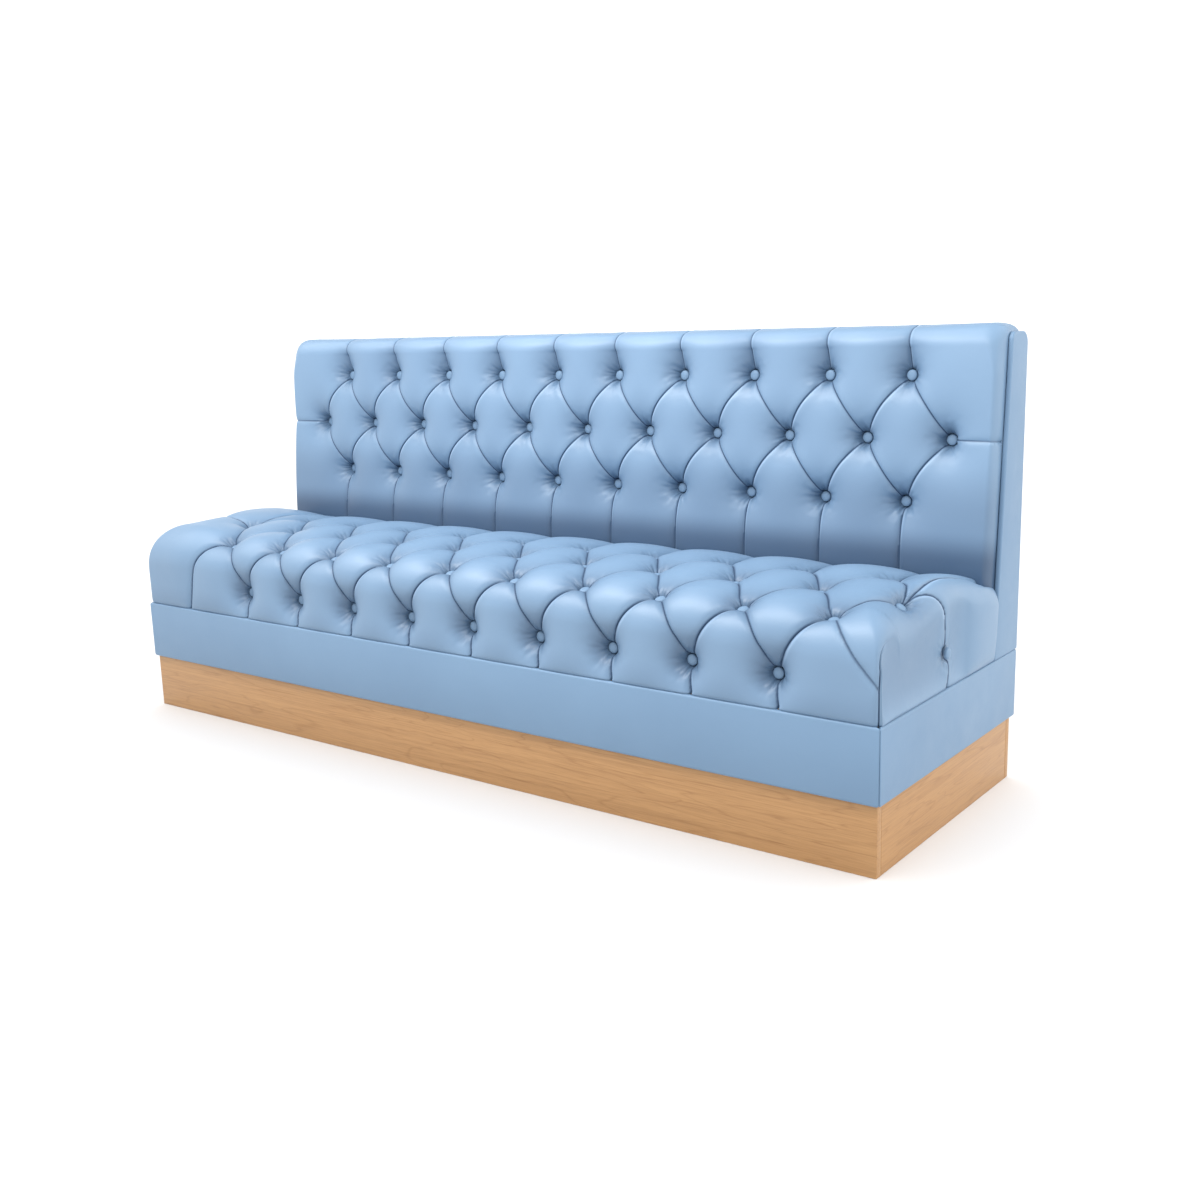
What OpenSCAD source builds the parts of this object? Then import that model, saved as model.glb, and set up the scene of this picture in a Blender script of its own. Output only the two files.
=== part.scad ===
// Upholstered banquette bench, deep buttoned, on a timber plinth.
// Millimetres. The origin is on the floor, under the middle of the bench:
// +X runs along the bench, to the right as seen from the front, +Y to the
// rear and +Z up.

/* [Overall] */
// Length of the bench from end to end
overall_width = 2100; // [2080:10:2130]
// Depth from the front of the base to the rear panel
overall_depth = 650; // [640:5:680]
// Height of the backrest above the floor
overall_height = 950; // [940:5:990]

/* [Plinth] */
// Height of the timber plinth
plinth_height = 135; // [125:5:145]
// How far the plinth stands in from the upholstered base
plinth_inset = 8; // [4:1:12]
// Thickness of the plinth boards
plinth_board = 18; // [15:1:24]
// Height of the rails across the plinth
plinth_rail_height = 95; // [70:5:105]
// Width of the cleats that the base is screwed to
cleat_width = 60; // [50:5:80]
// Side of the glued blocks in the plinth's corners
plinth_block = 40; // [30:2:50]

/* [Base] */
// Height of the upholstered base, deck included
base_height = 145; // [135:5:155]
// Thickness of the base rails and ribs
base_board = 22; // [18:1:26]
// Thickness of the plywood deck under the seat
deck_thickness = 15; // [12:1:20]
// Thickness of the padded fascia panels
fascia_thickness = 12; // [8:1:14]
// Side of the glued blocks in the base's corners
base_block = 48; // [40:2:56]

/* [Seat] */
// Height of the top of the seat's front roll above the floor
seat_roll_top = 480; // [474:1:490]
// Radius of the roll at the seat's front
seat_roll_radius = 94; // [90:1:98]
// How far the seat swells above its front roll
seat_hump = 14; // [4:1:20]
// How far the seat falls from its front roll to the crease at the back
seat_fall = 28; // [20:1:34]
// Radius of the seat's rounded ends, on top
seat_end_radius = 90; // [80:1:96]
// Radius of the seat's upright front corners
seat_corner_radius = 14; // [10:1:20]
// Length of sheet over which the one radius grows into the other
seat_edge_run = 260; // [220:10:300]
// Width of the margin in which the tufts fade at the seat's ends
seat_fade = 90; // [70:5:105]
// Depth of the pits that the seat's front row of buttons sits in
seat_pit = 46; // [38:1:49]
// Depth of the pits of its rear row
seat_rear_pit = 30; // [24:1:40]
// Depth of the seat's folds halfway between two buttons
seat_fold = 12; // [8:1:22]
// Height of the front row of buttons above the base
seat_front_row = 57; // [50:1:64]
// Angle round the front roll at which the second row sits
seat_roll_row = 70; // [62:1:78]
// Distance from the front roll's axis back to the third row
seat_third_row = 106; // [98:1:114]
// Distance from the third row back to the fourth row
seat_row_pitch = 125; // [115:1:135]
// How far the button on each end of the seat is sunk
seat_end_pit = 13; // [12:0.5:15]
// How far in front of the middle of the depth the end buttons sit
seat_end_button_y = 35; // [20:1:50]
// Height of the end buttons above the base
seat_end_button_z = 68; // [62:1:75]

/* [Tufting] */
// Distance between two buttons in a row of the seat
seat_spacing = 187; // [185:0.5:189]
// Distance between two buttons in a row of the backrest
back_spacing = 186; // [183:0.5:189]
// Sideways place of the seat's middle button
seat_shift = 80; // [72:1:88]
// Diameter of a covered button
button_d = 23; // [20:0.5:25]
// Height of a covered button
button_h = 7; // [5:0.5:8]
// Diameter of the ties that hold the buttons
tie_d = 3; // [2:0.5:4]
// Diameter of the shank under a button on the seat's end
shank_d = 4; // [3:0.5:6]
// Length of that shank
shank_length = 4; // [3.5:0.5:5]
// Bore that a tie passes through in timber
tie_bore = 6; // [5:0.5:8]
// Bore that a tie passes through in foam
foam_bore = 9; // [7:0.5:12]
// Diameter of the washers that hold the ties
tie_washer_d = 20; // [16:1:23]
// Thickness of those washers
tie_washer_t = 2; // [1:0.5:3]

/* [Seat core] */
// Thickness of the tufted pad in front of the seat's core
seat_pad_front = 57; // [54:1:62]
// Thickness of the tufted pad at the seat's ends
seat_pad_end = 35; // [30:1:40]
// Thickness of the tufted pad at the seat's rear
seat_pad_rear = 8; // [5:1:12]
// Height of the core that the tufted pad lies on
seat_core_height = 125; // [118:1:130]
// Thickness of the boards that stand round the seat's core
riser_board = 12; // [10:0.5:14]
// Height of those boards
riser_height = 95; // [90:1:105]
// How far behind its button a tie of the second row runs
tie_lead = 14; // [12:1:20]

/* [Backrest] */
// Distance from the rear to the backrest's seam at its foot
back_foot_depth = 129; // [124:1:134]
// Distance from the rear to the backrest's seam at its top
back_top_depth = 85; // [82:1:92]
// How far the tufts swell in front of the seam
back_swell = 30; // [27:1:34]
// Depth of the pits that the backrest's buttons sit in
back_pit = 54; // [46:1:56]
// Depth of the backrest's folds halfway between two buttons
back_fold = 14; // [8:1:24]
// Height of the lowest row of buttons above the floor
back_row_low = 588; // [570:1:596]
// Height from one row of buttons to the next
back_row_pitch = 129; // [120:1:133]
// Radius of the roll at the top of the backrest, in front
back_roll_radius = 48; // [42:1:50]
// Radius of the roll at the top of the backrest, behind
back_rear_radius = 40; // [34:1:44]
// Radius of the pad's edge beside the end panels
back_edge_radius = 34; // [26:1:38]
// Radius of that edge on top
back_top_edge = 20; // [14:1:26]
// Radius of that edge at the rear
back_rear_edge = 12; // [8:1:20]
// Radius of the end panels' rear corner
end_panel_corner = 25; // [15:1:30]
// Width of the margin in which the tufts fade at the backrest's ends
back_fade = 80; // [60:5:110]
// Thickness of the tufted pad of the backrest, from its swell
back_pad = 62; // [60:1:65]
// Thickness of the foam behind the tufted pad
back_foam_thickness = 10; // [8:1:12]
// Thickness of the plywood board behind the foam
back_board_thickness = 12; // [9:1:14]
// Thickness of the backrest's ribs and rails
back_rib = 22; // [18:1:26]
// Thickness of the padded end panels
end_panel_thickness = 10; // [8:1:14]
// Thickness of the rear panel
rear_panel_thickness = 3; // [2:0.5:4]

/* [Fasteners] */
// Diameter of the wood screws
screw_d = 5; // [4:0.5:6]
// Diameter of the screw heads
screw_head_d = 10; // [8:0.5:11]
// Height of the screw heads
screw_head_h = 3; // [2:0.5:4]
// How deep a screw goes into the second board
screw_bite = 30; // [20:1:35]
// Diameter of the bolts that hold the backrest
bolt_d = 8; // [6:0.5:10]
// Width of a bolt head or a nut over its corners
bolt_corners = 15; // [13:0.5:17]
// Height of a bolt head or a nut
bolt_head_h = 5.5; // [4:0.5:7]
// Diameter of a bolt washer
bolt_washer_d = 20; // [18:1:22]
// Thickness of a bolt washer
bolt_washer_t = 1.6; // [1:0.2:2.4]
// Bolt thread that shows beyond its nut
bolt_tail = 3; // [2:0.5:6]
// Distance from a rib, or from a block in the base's corner, to its bolt
bolt_offset = 40; // [32:2:50]

/* [Hidden] */
// Clearance round soft pieces
soft_gap = 0.3;
// Clearance round screws and bolts in their bores
bore_gap = 0.1;
// Flat margin round a button in its pit
pit_margin = 2.5;
// Overrun of a cut past the face that it opens
over = 1;
$fn = 32;

vinyl = [0.57, 0.70, 0.84];
vinyl_button = [0.48, 0.62, 0.79];
beech = [0.79, 0.62, 0.44];
pine = [0.86, 0.74, 0.55];
ply = [0.80, 0.68, 0.50];
foam = [0.93, 0.89, 0.72];
steel = [0.62, 0.64, 0.66];
twine = [0.88, 0.86, 0.80];
black_cloth = [0.16, 0.16, 0.17];

deg = 180 / PI;
half_width = overall_width / 2;
half_depth = overall_depth / 2;
base_top = plinth_height + base_height;
pad_foot = base_top + soft_gap;

function lerp(a, b, t) = a + (b - a) * t;
function smooth(t) = let (c = min(1, max(0, t))) c * c * (3 - 2 * c);

// Plan of the plinth, and of the base frame inside the fascia
plinth_x = half_width - plinth_inset;
plinth_y = half_depth - plinth_inset;
frame_x = half_width - fascia_thickness;
frame_front = -half_depth + fascia_thickness;
frame_inner_front = frame_front + base_board;
frame_inner_rear = half_depth - base_board;
deck_foot = base_top - deck_thickness;

// The backrest's seam plane leans back from the base
back_lean = atan2(back_foot_depth - back_top_depth, overall_height - base_top);
function seam_y(z) = half_depth - back_foot_depth + (z - base_top) * tan(back_lean);
// The same plane, moved back by a distance square to itself
function behind_seam(distance, z) = seam_y(z) + distance / cos(back_lean);
rear_y = half_depth - rear_panel_thickness;
back_half = half_width - end_panel_thickness;

// A tufted sheet is a mesh of triangles between two ends. There are four
// columns from one button to the next and four rows of the mesh from one row
// of buttons to the next. Odd rows are staggered by half a column and have
// one vertex more, so that every diagonal fold follows mesh edges.
steps = 4;
ring_sides = 6;
ring_radius = button_d / 2 + pit_margin;
// The surface rises steeply from a fold and is flatter on the tuft
swell_power = 0.7;
// A crossing of folds that has no button is this share of a pit deep
bare_pit_share = 0.6;

function swell(t) = pow(max(0, sin(180 * (t - floor(t)))), swell_power);
// Depth below a tuft's crown, where p counts buttons along a row and q counts
// rows: folds run where p + q/2 or p - q/2 is whole, buttons where both are
function tuft_depth(p, q, pit, fold) =
    let (a = swell(p + q / 2), b = swell(p - q / 2))
    pit * (1 - a) * (1 - b) + fold * (a * (1 - b) + b * (1 - a));
// Depth of the straight pleats between the last row of buttons and an edge
function pleat_depth(p, fold) = fold * (1 - swell(p));
// Depth at mesh row j: first and last are the mesh rows of the outer buttons
function sheet_depth(j, p, first, last, pit, fold) =
    let (row = min(last, max(first, j)),
        past = abs(j - row) / steps,
        q = (row - first) / steps)
    lerp(tuft_depth(p, q, pit, fold), pleat_depth(p + q / 2, fold), min(1, 2 * past));

function row_size(columns, j) = columns + j % 2;
function row_start(columns, j) = j * columns + floor(j / 2);
// Column count of vertex k, with the staggered rows between the others
function column(columns, j, k) =
    j % 2 == 0 ? k : (max(k - 1, 0) + min(k, columns - 1)) / 2;

// Rows of buttons are given as [mesh row, first p, number of buttons]
function buttons_before(rows, n) = n == 0 ? 0 : rows[n - 1][2] + buttons_before(rows, n - 1);
function button_total(rows) = buttons_before(rows, len(rows));
// Number of the button at mesh row j and count p, or -1 where there is none
function button_number(rows, j, p) =
    let (hits = [for (n = [0 : len(rows) - 1])
        let (k = p - rows[n][1])
        if (rows[n][0] == j && k == floor(k) && k >= 0 && k < rows[n][2])
            buttons_before(rows, n) + k])
    len(hits) > 0 ? hits[0] : -1;

// One triangle of the sheet. A corner that is a button is cut back to the
// ring round it, where turn is the ring corner that faces the next corner.
function tile(corners, numbers, turn, rings) =
    let (m = numbers[0] >= 0 ? 0 : numbers[1] >= 0 ? 1 : numbers[2] >= 0 ? 2 : -1)
    m < 0 ? [corners] :
    let (d = turn + 2 * m,
        ring = rings + ring_sides * numbers[m],
        a = ring + d % ring_sides,
        b = ring + (d + 1) % ring_sides,
        next = corners[(m + 1) % 3],
        last = corners[(m + 2) % 3])
    [[a, next, last], [a, last, b]];

// Triangles of a whole sheet, counterclockwise as seen from outside
function sheet_faces(columns, mesh_rows, first_p, rows) =
    let (rings = row_start(columns, mesh_rows),
        number = function (j, k)
            j % 2 == 1 ? -1 : button_number(rows, j, first_p + k / steps))
    [for (j = [0 : mesh_rows - 2])
        let (low = row_start(columns, j), high = row_start(columns, j + 1))
        for (k = [0 : columns - 1])
            each j % 2 == 0
                ? concat(
                    tile([low + k, high + k + 1, high + k], [number(j, k), -1, -1], 1, rings),
                    k == columns - 1 ? [] : tile([low + k, low + k + 1, high + k + 1],
                        [number(j, k), number(j, k + 1), -1], 0, rings))
                : concat(
                    tile([low + k, low + k + 1, high + k], [-1, -1, number(j + 1, k)], 0, rings),
                    k == columns - 1 ? [] : tile([low + k + 1, high + k + 1, high + k],
                        [-1, number(j + 1, k + 1), number(j + 1, k)], 1, rings)),
    for (n = [0 : button_total(rows) - 1], i = [1 : ring_sides - 2])
        let (ring = rings + ring_sides * n)
        [ring, ring + i, ring + i + 1]];

// A place on a sheet is [point, outward, along the bench, up the sheet]
function sunk(place, depth) = [place[0] - depth * place[1], place[1], place[2], place[3]];
function ring_points(place) = [for (i = [0 : ring_sides - 1])
    place[0] + ring_radius * (cos(360 / ring_sides * i) * place[2]
        + sin(360 / ring_sides * i) * place[3])];
// A strip of the profile [y, z, outward y, outward z], rounded off at the
// ends of the sheet: the half length is flat but for the last radius
function rounded_place(u, profile, half, radius) =
    let (side = u < 0 ? -1 : 1,
        past = max(0, abs(u) - half + radius),
        a = past / radius * deg,
        inset = radius * (1 - cos(a)),
        x = side * (min(abs(u), half - radius) + radius * sin(a)),
        out = [side * sin(a), profile[2] * cos(a), profile[3] * cos(a)],
        up = [0, profile[3], -profile[2]])
    [[x, profile[0] - inset * profile[2], profile[1] - inset * profile[3]],
        out, cross(up, out), up];
function rounded_half(half, radius) = half - radius + radius * PI / 2;
// Stations along a profile, in equal steps between its stops
function stations(stops, counts) = [
    for (i = [0 : len(counts) - 1])
        for (n = [0 : counts[i] - 1]) lerp(stops[i], stops[i + 1], n / counts[i]),
    stops[len(stops) - 1]
];
// Fan of triangles from one vertex over an edge of the sheet
function fan(apex, edge, flip = false) = [for (i = [0 : len(edge) - 2])
    flip ? [apex, edge[i + 1], edge[i]] : [apex, edge[i], edge[i + 1]]];
function clockwise(faces) = [for (face = faces) [face[2], face[1], face[0]]];

// The seat's sheet rises up the front, turns over the roll and runs back to
// the crease. Its place v is the length of sheet from the base.
seat_axis_y = -half_depth + seat_roll_radius;
seat_axis_z = seat_roll_top - seat_roll_radius;
seat_rise = seat_axis_z - pad_foot;
seat_roll_end = seat_rise + seat_roll_radius * PI / 2;
seat_crease_z = seat_roll_top - seat_fall;
function seat_rear_y(z) = behind_seam(-back_swell, z) - soft_gap;
seat_sheet = seat_roll_end + seat_rear_y(seat_crease_z) - seat_axis_y;

function seat_profile(v) =
    v <= seat_rise ? [-half_depth, pad_foot + v, -1, 0]
    : v <= seat_roll_end
        ? let (a = (v - seat_rise) / seat_roll_radius * deg)
            [seat_axis_y - seat_roll_radius * cos(a), seat_axis_z + seat_roll_radius * sin(a),
            -cos(a), sin(a)]
        : let (t = (v - seat_roll_end) / (seat_sheet - seat_roll_end))
            [seat_axis_y + v - seat_roll_end,
            seat_roll_top + seat_hump * sin(180 * t) - seat_fall * pow(t, 3), 0, 1];
function seat_edge(v) =
    lerp(seat_corner_radius, seat_end_radius, smooth((v - seat_rise) / seat_edge_run));
function seat_place(u, v) = rounded_place(u, seat_profile(v), half_width, seat_edge(v));
function seat_x(p) = seat_shift + p * seat_spacing;

seat_counts = [steps / 2, steps, steps, steps, steps];
seat_third_v = seat_roll_end + seat_third_row;
seat_stations = stations([0, seat_front_row, seat_rise + seat_roll_row / deg * seat_roll_radius,
    seat_third_v, seat_third_v + seat_row_pitch, seat_sheet], seat_counts);
seat_mesh_rows = len(seat_stations);
// The third row starts clear of the left end's roll and runs out onto the
// right end's; these are its buttons on either side of the middle one
seat_left_reach = floor((half_width - seat_end_radius + seat_shift) / seat_spacing);
seat_right_reach = floor((half_width - ring_radius - seat_shift) / seat_spacing);
// The tufts are even between these two counts, with bare columns beyond
seat_even = [-seat_left_reach - 1 / 2, seat_right_reach - 1 / 2];
seat_bare = [4, 5];
seat_columns = seat_bare[0] + (seat_even[1] - seat_even[0]) * steps + seat_bare[1] + 1;
seat_first_p = seat_even[0] - seat_bare[0] / steps;
// The front row is a button shorter at each end than the third
seat_reach = seat_left_reach + seat_right_reach;
seat_rows = [
    [steps / 2, 1 - seat_left_reach, seat_reach - 1],
    [steps / 2 + steps, 1 / 2 - seat_left_reach, seat_reach],
    [steps / 2 + 2 * steps, -seat_left_reach, seat_reach + 1],
    [steps / 2 + 3 * steps, 1 / 2 - seat_left_reach, seat_reach]
];
seat_first_row = seat_rows[0][0];
seat_last_row = seat_rows[len(seat_rows) - 1][0];
// The pits grow shallower from the front row to the rear row
function seat_pit_at(j) =
    let (share = (j - seat_first_row) / (seat_last_row - seat_first_row))
    lerp(seat_pit, seat_rear_pit, min(1, max(0, share)));

function seat_column_u(c, v) =
    let (left = seat_bare[0],
        right = seat_columns - 1 - seat_bare[1],
        end = rounded_half(half_width, seat_edge(v)))
    c < left ? lerp(-end, seat_x(seat_even[0]), c / left)
    : c <= right ? seat_x(seat_even[0] + (c - left) / steps)
    : lerp(seat_x(seat_even[1]), end, (c - right) / seat_bare[1]);
function seat_u(j, k) =
    let (v = seat_stations[j])
    j % 2 == 0 ? seat_column_u(k, v)
    : (seat_column_u(max(k - 1, 0), v) + seat_column_u(min(k, seat_columns - 1), v)) / 2;
function seat_vertex(j, k) =
    let (u = seat_u(j, k),
        v = seat_stations[j],
        p = seat_first_p + column(seat_columns, j, k) / steps,
        place = seat_place(u, v),
        fade = smooth((rounded_half(half_width, seat_edge(v)) - abs(u)) / seat_fade),
        pit = seat_pit_at(j),
        depth = min(bare_pit_share * pit, sheet_depth(j, p, seat_first_row, seat_last_row, pit, seat_fold)),
        border = j == 0 || j == seat_mesh_rows - 1,
        point = place[0] - (border ? 0 : fade * depth) * place[1])
    j == seat_mesh_rows - 1 ? [point[0], seat_rear_y(point[2]), point[2]] : point;
// Pit of button n of a row: the same column is found from its count p
function seat_button(row, n) =
    let (k = (row[1] + n - seat_first_p) * steps)
    sunk(seat_place(seat_u(row[0], k), seat_stations[row[0]]), seat_pit_at(row[0]));
seat_buttons_all = [for (row = seat_rows, n = [0 : row[2] - 1]) seat_button(row, n)];
function seat_end_button(side) =
    [[side * (half_width - seat_end_pit), -seat_end_button_y, base_top + seat_end_button_z],
        [side, 0, 0]];

// Backrest: its sheet rises from the base, leaning back, rolls over the top
// and ends at the rear
back_foot_y = behind_seam(-back_swell, pad_foot);
back_axis_z = overall_height - back_roll_radius;
back_axis_y = behind_seam(-back_swell, back_axis_z) + back_roll_radius / cos(back_lean);
back_face = (back_axis_z + back_roll_radius * sin(back_lean) - pad_foot) / cos(back_lean);
back_roll_end = back_face + back_roll_radius * (PI / 2 - back_lean / deg);
back_rear_axis_y = rear_y - soft_gap - back_rear_radius;
back_rear_z = overall_height - back_rear_radius;
back_flat_end = back_roll_end + back_rear_axis_y - back_axis_y;
back_sheet = back_flat_end + back_rear_radius * PI / 2;

function back_profile(v) =
    v <= back_face
        ? [back_foot_y + v * sin(back_lean), pad_foot + v * cos(back_lean),
            -cos(back_lean), sin(back_lean)]
    : v <= back_roll_end
        ? let (a = back_lean + (v - back_face) / back_roll_radius * deg)
            [back_axis_y - back_roll_radius * cos(a), back_axis_z + back_roll_radius * sin(a),
            -cos(a), sin(a)]
    : v <= back_flat_end
        ? [back_axis_y + v - back_roll_end, overall_height, 0, 1]
        : let (a = (v - back_flat_end) / back_rear_radius * deg)
            [back_rear_axis_y + back_rear_radius * sin(a), back_rear_z + back_rear_radius * cos(a),
            sin(a), cos(a)];
function back_edge(v) =
    v <= back_flat_end
        ? lerp(back_edge_radius, back_top_edge, smooth((v - back_face) / (back_roll_end - back_face)))
        : lerp(back_top_edge, back_rear_edge, (v - back_flat_end) / (back_sheet - back_flat_end));
pad_half = back_half - soft_gap;
function back_place(u, v) = rounded_place(u, back_profile(v), pad_half, back_edge(v));
// Length of sheet up to the button whose pit is at height z
function back_v(z) = (z + back_pit * sin(back_lean) - pad_foot) / cos(back_lean);

// As many rows of buttons as fit between the lowest one and the roll on top
back_row_count = 1 + floor((back_axis_z - 2 * ring_radius - back_row_low) / back_row_pitch);
back_row_stops = [for (n = [0 : back_row_count - 1]) back_v(back_row_low + n * back_row_pitch)];
back_top_counts = [1, 2, 1, 2];
back_stations = stations(
    concat([0], back_row_stops, [back_face, back_roll_end, back_flat_end, back_sheet]),
    concat([for (stop = back_row_stops) steps], back_top_counts));
back_mesh_rows = len(back_stations);
// Half as many buttons as the low row has, which leaves the ends bare
back_reach = floor((back_half - back_fade) / back_spacing);
back_even = [1 / 2 - back_reach, 1 / 2 + back_reach];
back_bare = 3;
back_columns = (back_even[1] - back_even[0]) * steps + 2 * back_bare + 1;
back_first_p = back_even[0] - back_bare / steps;
// Every other row has a button more, and reaches half a space further
back_rows = [for (n = [0 : back_row_count - 1])
    let (odd = n % 2) [steps * (n + 1), 1 - odd / 2 - back_reach, 2 * back_reach + odd]];
back_first_row = back_rows[0][0];
back_last_row = back_rows[len(back_rows) - 1][0];
// The backrest's buttons are centred, with a gap in the middle of the low row
function back_x(p) = (p - 1 / 2) * back_spacing;

function back_column_u(c, v) =
    let (right = back_columns - 1 - back_bare, end = rounded_half(pad_half, back_edge(v)))
    c < back_bare ? lerp(-end, back_x(back_even[0]), c / back_bare)
    : c <= right ? back_x(back_even[0] + (c - back_bare) / steps)
    : lerp(back_x(back_even[1]), end, (c - right) / back_bare);
function back_u(j, k) =
    let (v = back_stations[j])
    j % 2 == 0 ? back_column_u(k, v)
    : (back_column_u(max(k - 1, 0), v) + back_column_u(min(k, back_columns - 1), v)) / 2;
function back_vertex(j, k) =
    let (u = back_u(j, k),
        v = back_stations[j],
        p = back_first_p + column(back_columns, j, k) / steps,
        place = back_place(u, v),
        fade = smooth((rounded_half(pad_half, back_edge(v)) - abs(u)) / back_fade),
        last = back_mesh_rows - 1,
        topped = smooth((last - j) / (last - back_last_row)),
        depth = min(bare_pit_share * back_pit,
            sheet_depth(j, p, back_first_row, back_last_row, back_pit, back_fold)),
        point = place[0] - (j == 0 ? 0 : fade * topped * depth) * place[1])
    j == 0 ? [point[0], point[1], pad_foot] : point;
function back_button(row, n) =
    let (k = (row[1] + n - back_first_p) * steps)
    sunk(back_place(back_u(row[0], k), back_stations[row[0]]), back_pit);
back_buttons_all = [for (row = back_rows, n = [0 : row[2] - 1]) back_button(row, n)];

// Planes of the backrest's layers, as distances behind the seam plane
pad_back = back_pad - back_swell;
board_front = pad_back + back_foam_thickness;
board_back = board_front + back_board_thickness;

// Seat core: what stands inside the tufted pad
core_x = half_width - seat_pad_end;
core_front = -half_depth + seat_pad_front;
core_rear = seat_rear_y(pad_foot) - seat_pad_rear;
core_top = base_top + seat_core_height;

// Shapes that repeat
module between(a, b) {
    low = [for (i = [0 : 2]) min(a[i], b[i])];
    high = [for (i = [0 : 2]) max(a[i], b[i])];
    translate(low) cube(high - low);
}

// Children drawn along +Z are set on a point, looking along outward
module looking(point, outward) {
    translate(point)
        rotate([0, acos(outward[2]), atan2(outward[1], outward[0])])
            children();
}

// A flat outline of [y, z] points, extruded along the bench
module along_bench(outline, x_low, x_high) {
    translate([x_low, 0, 0])
        rotate([90, 0, 90])
            linear_extrude(x_high - x_low) polygon(outline);
}

// Outline between two distances behind the seam plane, cut level at its ends
function leaning(near, far, z_low, z_high) = [
    [behind_seam(near, z_low), z_low], [behind_seam(far, z_low), z_low],
    [behind_seam(far, z_high), z_high], [behind_seam(near, z_high), z_high]
];

// Outline from the backrest's board to the rear panel
function behind_board(z_low, z_high) = [
    [behind_seam(board_back, z_low), z_low], [rear_y, z_low],
    [rear_y, z_high], [behind_seam(board_back, z_high), z_high]
];

module button(shank = 0) {
    rim_shares = [[0, 0], [0.92, 0], [1, 0.25], [0.97, 0.5], [0.78, 0.78], [0.42, 0.95], [0, 1]];
    translate([0, 0, shank])
        rotate_extrude()
            polygon([for (share = rim_shares) [share[0] * button_d / 2, share[1] * button_h]]);
    if (shank > 0) cylinder(d = shank_d, h = shank + button_h / 2);
}

// A tie and its washer hang down from the origin, past what they hold
module tie(grip) {
    translate([0, 0, -grip - tie_washer_t]) cylinder(d = tie_d, h = grip + tie_washer_t);
}

module tie_washer(grip) {
    translate([0, 0, -grip - tie_washer_t])
        difference() {
            cylinder(d = tie_washer_d, h = tie_washer_t);
            translate([0, 0, -over]) cylinder(d = tie_d + 2 * bore_gap, h = tie_washer_t + 2 * over);
        }
}

module tie_way(bore, grip) {
    translate([0, 0, -grip - over]) cylinder(d = bore, h = grip + 2 * over);
}

// A screw is driven along +Z, with the underside of its head at the origin
module screw(length) {
    translate([0, 0, -screw_head_h]) cylinder(d = screw_head_d, h = screw_head_h);
    cylinder(d = screw_d, h = length);
}

module screw_way(length) {
    translate([0, 0, -over]) cylinder(d = screw_d + 2 * bore_gap, h = length + over + bore_gap);
}

// Places of the ties
seat_pins = [for (row = seat_rows, n = [0 : row[2] - 1]) [row[0], seat_button(row, n)]];
front_pins = [for (pin = seat_pins) if (pin[0] == seat_first_row) pin[1][0]];
// Ties of the rows on top run straight down; the second row's lead back
deck_pins = [for (pin = seat_pins) if (pin[0] > seat_first_row)
    let (lead = pin[0] == seat_rows[1][0] ? tie_lead : 0)
    [min(pin[1][0][0], core_x - riser_board - tie_washer_d), pin[1][0][1] + lead, core_top]];
deck_grip = core_top - deck_foot;
riser_grip = soft_gap + riser_board;
back_grip = back_foam_thickness + back_board_thickness;

module at_front_ties() {
    for (pin = front_pins) looking([pin[0], core_front, pin[2]], [0, -1, 0]) children();
}

module at_end_tie(side) {
    looking([side * core_x, -seat_end_button_y, base_top + seat_end_button_z], [side, 0, 0]) children();
}

module at_deck_ties() {
    for (pin = deck_pins) translate(pin) children();
}

module at_back_ties() {
    for (pin = back_buttons_all)
        looking(pin[0] - (back_pad - back_pit) * pin[1], pin[1]) children();
}

// Places of the screws and bolts
cleat_foot = plinth_height - plinth_board;
cleat_y = plinth_y - plinth_board;
cleat_screw_length = plinth_board + screw_bite;
deck_screw_length = deck_thickness - screw_head_h + screw_bite;
rib_shares = [-3.25, -0.25, 2.75];
rib_places = [for (share = rib_shares) seat_x(share)];
back_rib_shares = [-2.75, 0.25, 2.75];
back_rib_places = [for (share = back_rib_shares) share * back_spacing];
deck_screw_shares = [-0.75, -0.06, 0.7];
deck_screw_places = [for (x = rib_places, share = deck_screw_shares) [x, share * half_depth]];
bolt_y = (behind_seam(board_back, base_top + back_rib) + frame_inner_rear) / 2;
bolt_end_x = frame_x - base_board - base_block - bolt_offset;
bolt_places = concat(
    [for (x = back_rib_places) [x + bolt_offset, bolt_y]],
    [for (side = [-1, 1]) [side * bolt_end_x, bolt_y]]
);
bolt_grip = back_rib + deck_thickness + 2 * bolt_washer_t;

module at_cleat_screws() {
    for (x = rib_places, side = [-1, 1])
        translate([x, side * (cleat_y - cleat_width + screw_head_d), cleat_foot]) children();
}

module at_deck_screws() {
    for (place = deck_screw_places)
        translate([place[0], place[1], base_top - screw_head_h]) rotate([180, 0, 0]) children();
}

module at_bolts(z) {
    for (place = bolt_places) translate([place[0], place[1], z]) children();
}

// Plinth
module plinth_long_board(side) {
    color(beech) between([-plinth_x, side * plinth_y, 0], [plinth_x, side * cleat_y, plinth_height]);
}

module plinth_side_board(side) {
    color(beech)
        between([side * plinth_x, -cleat_y, 0],
            [side * (plinth_x - plinth_board), cleat_y, plinth_height]);
}

// Rails across the plinth, on the floor
module plinth_cross_rails() {
    color(pine)
        for (x = rib_places)
            between([x - plinth_board / 2, -cleat_y, 0],
                [x + plinth_board / 2, cleat_y, plinth_rail_height]);
}

// Flat cleats inside the long boards, flush with the plinth's top
module plinth_cleats() {
    end = plinth_x - plinth_board - plinth_block;
    color(pine)
        difference() {
            for (side = [-1, 1])
                between([-end, side * cleat_y, cleat_foot],
                    [end, side * (cleat_y - cleat_width), plinth_height]);
            at_cleat_screws() screw_way(cleat_screw_length);
        }
}

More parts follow.
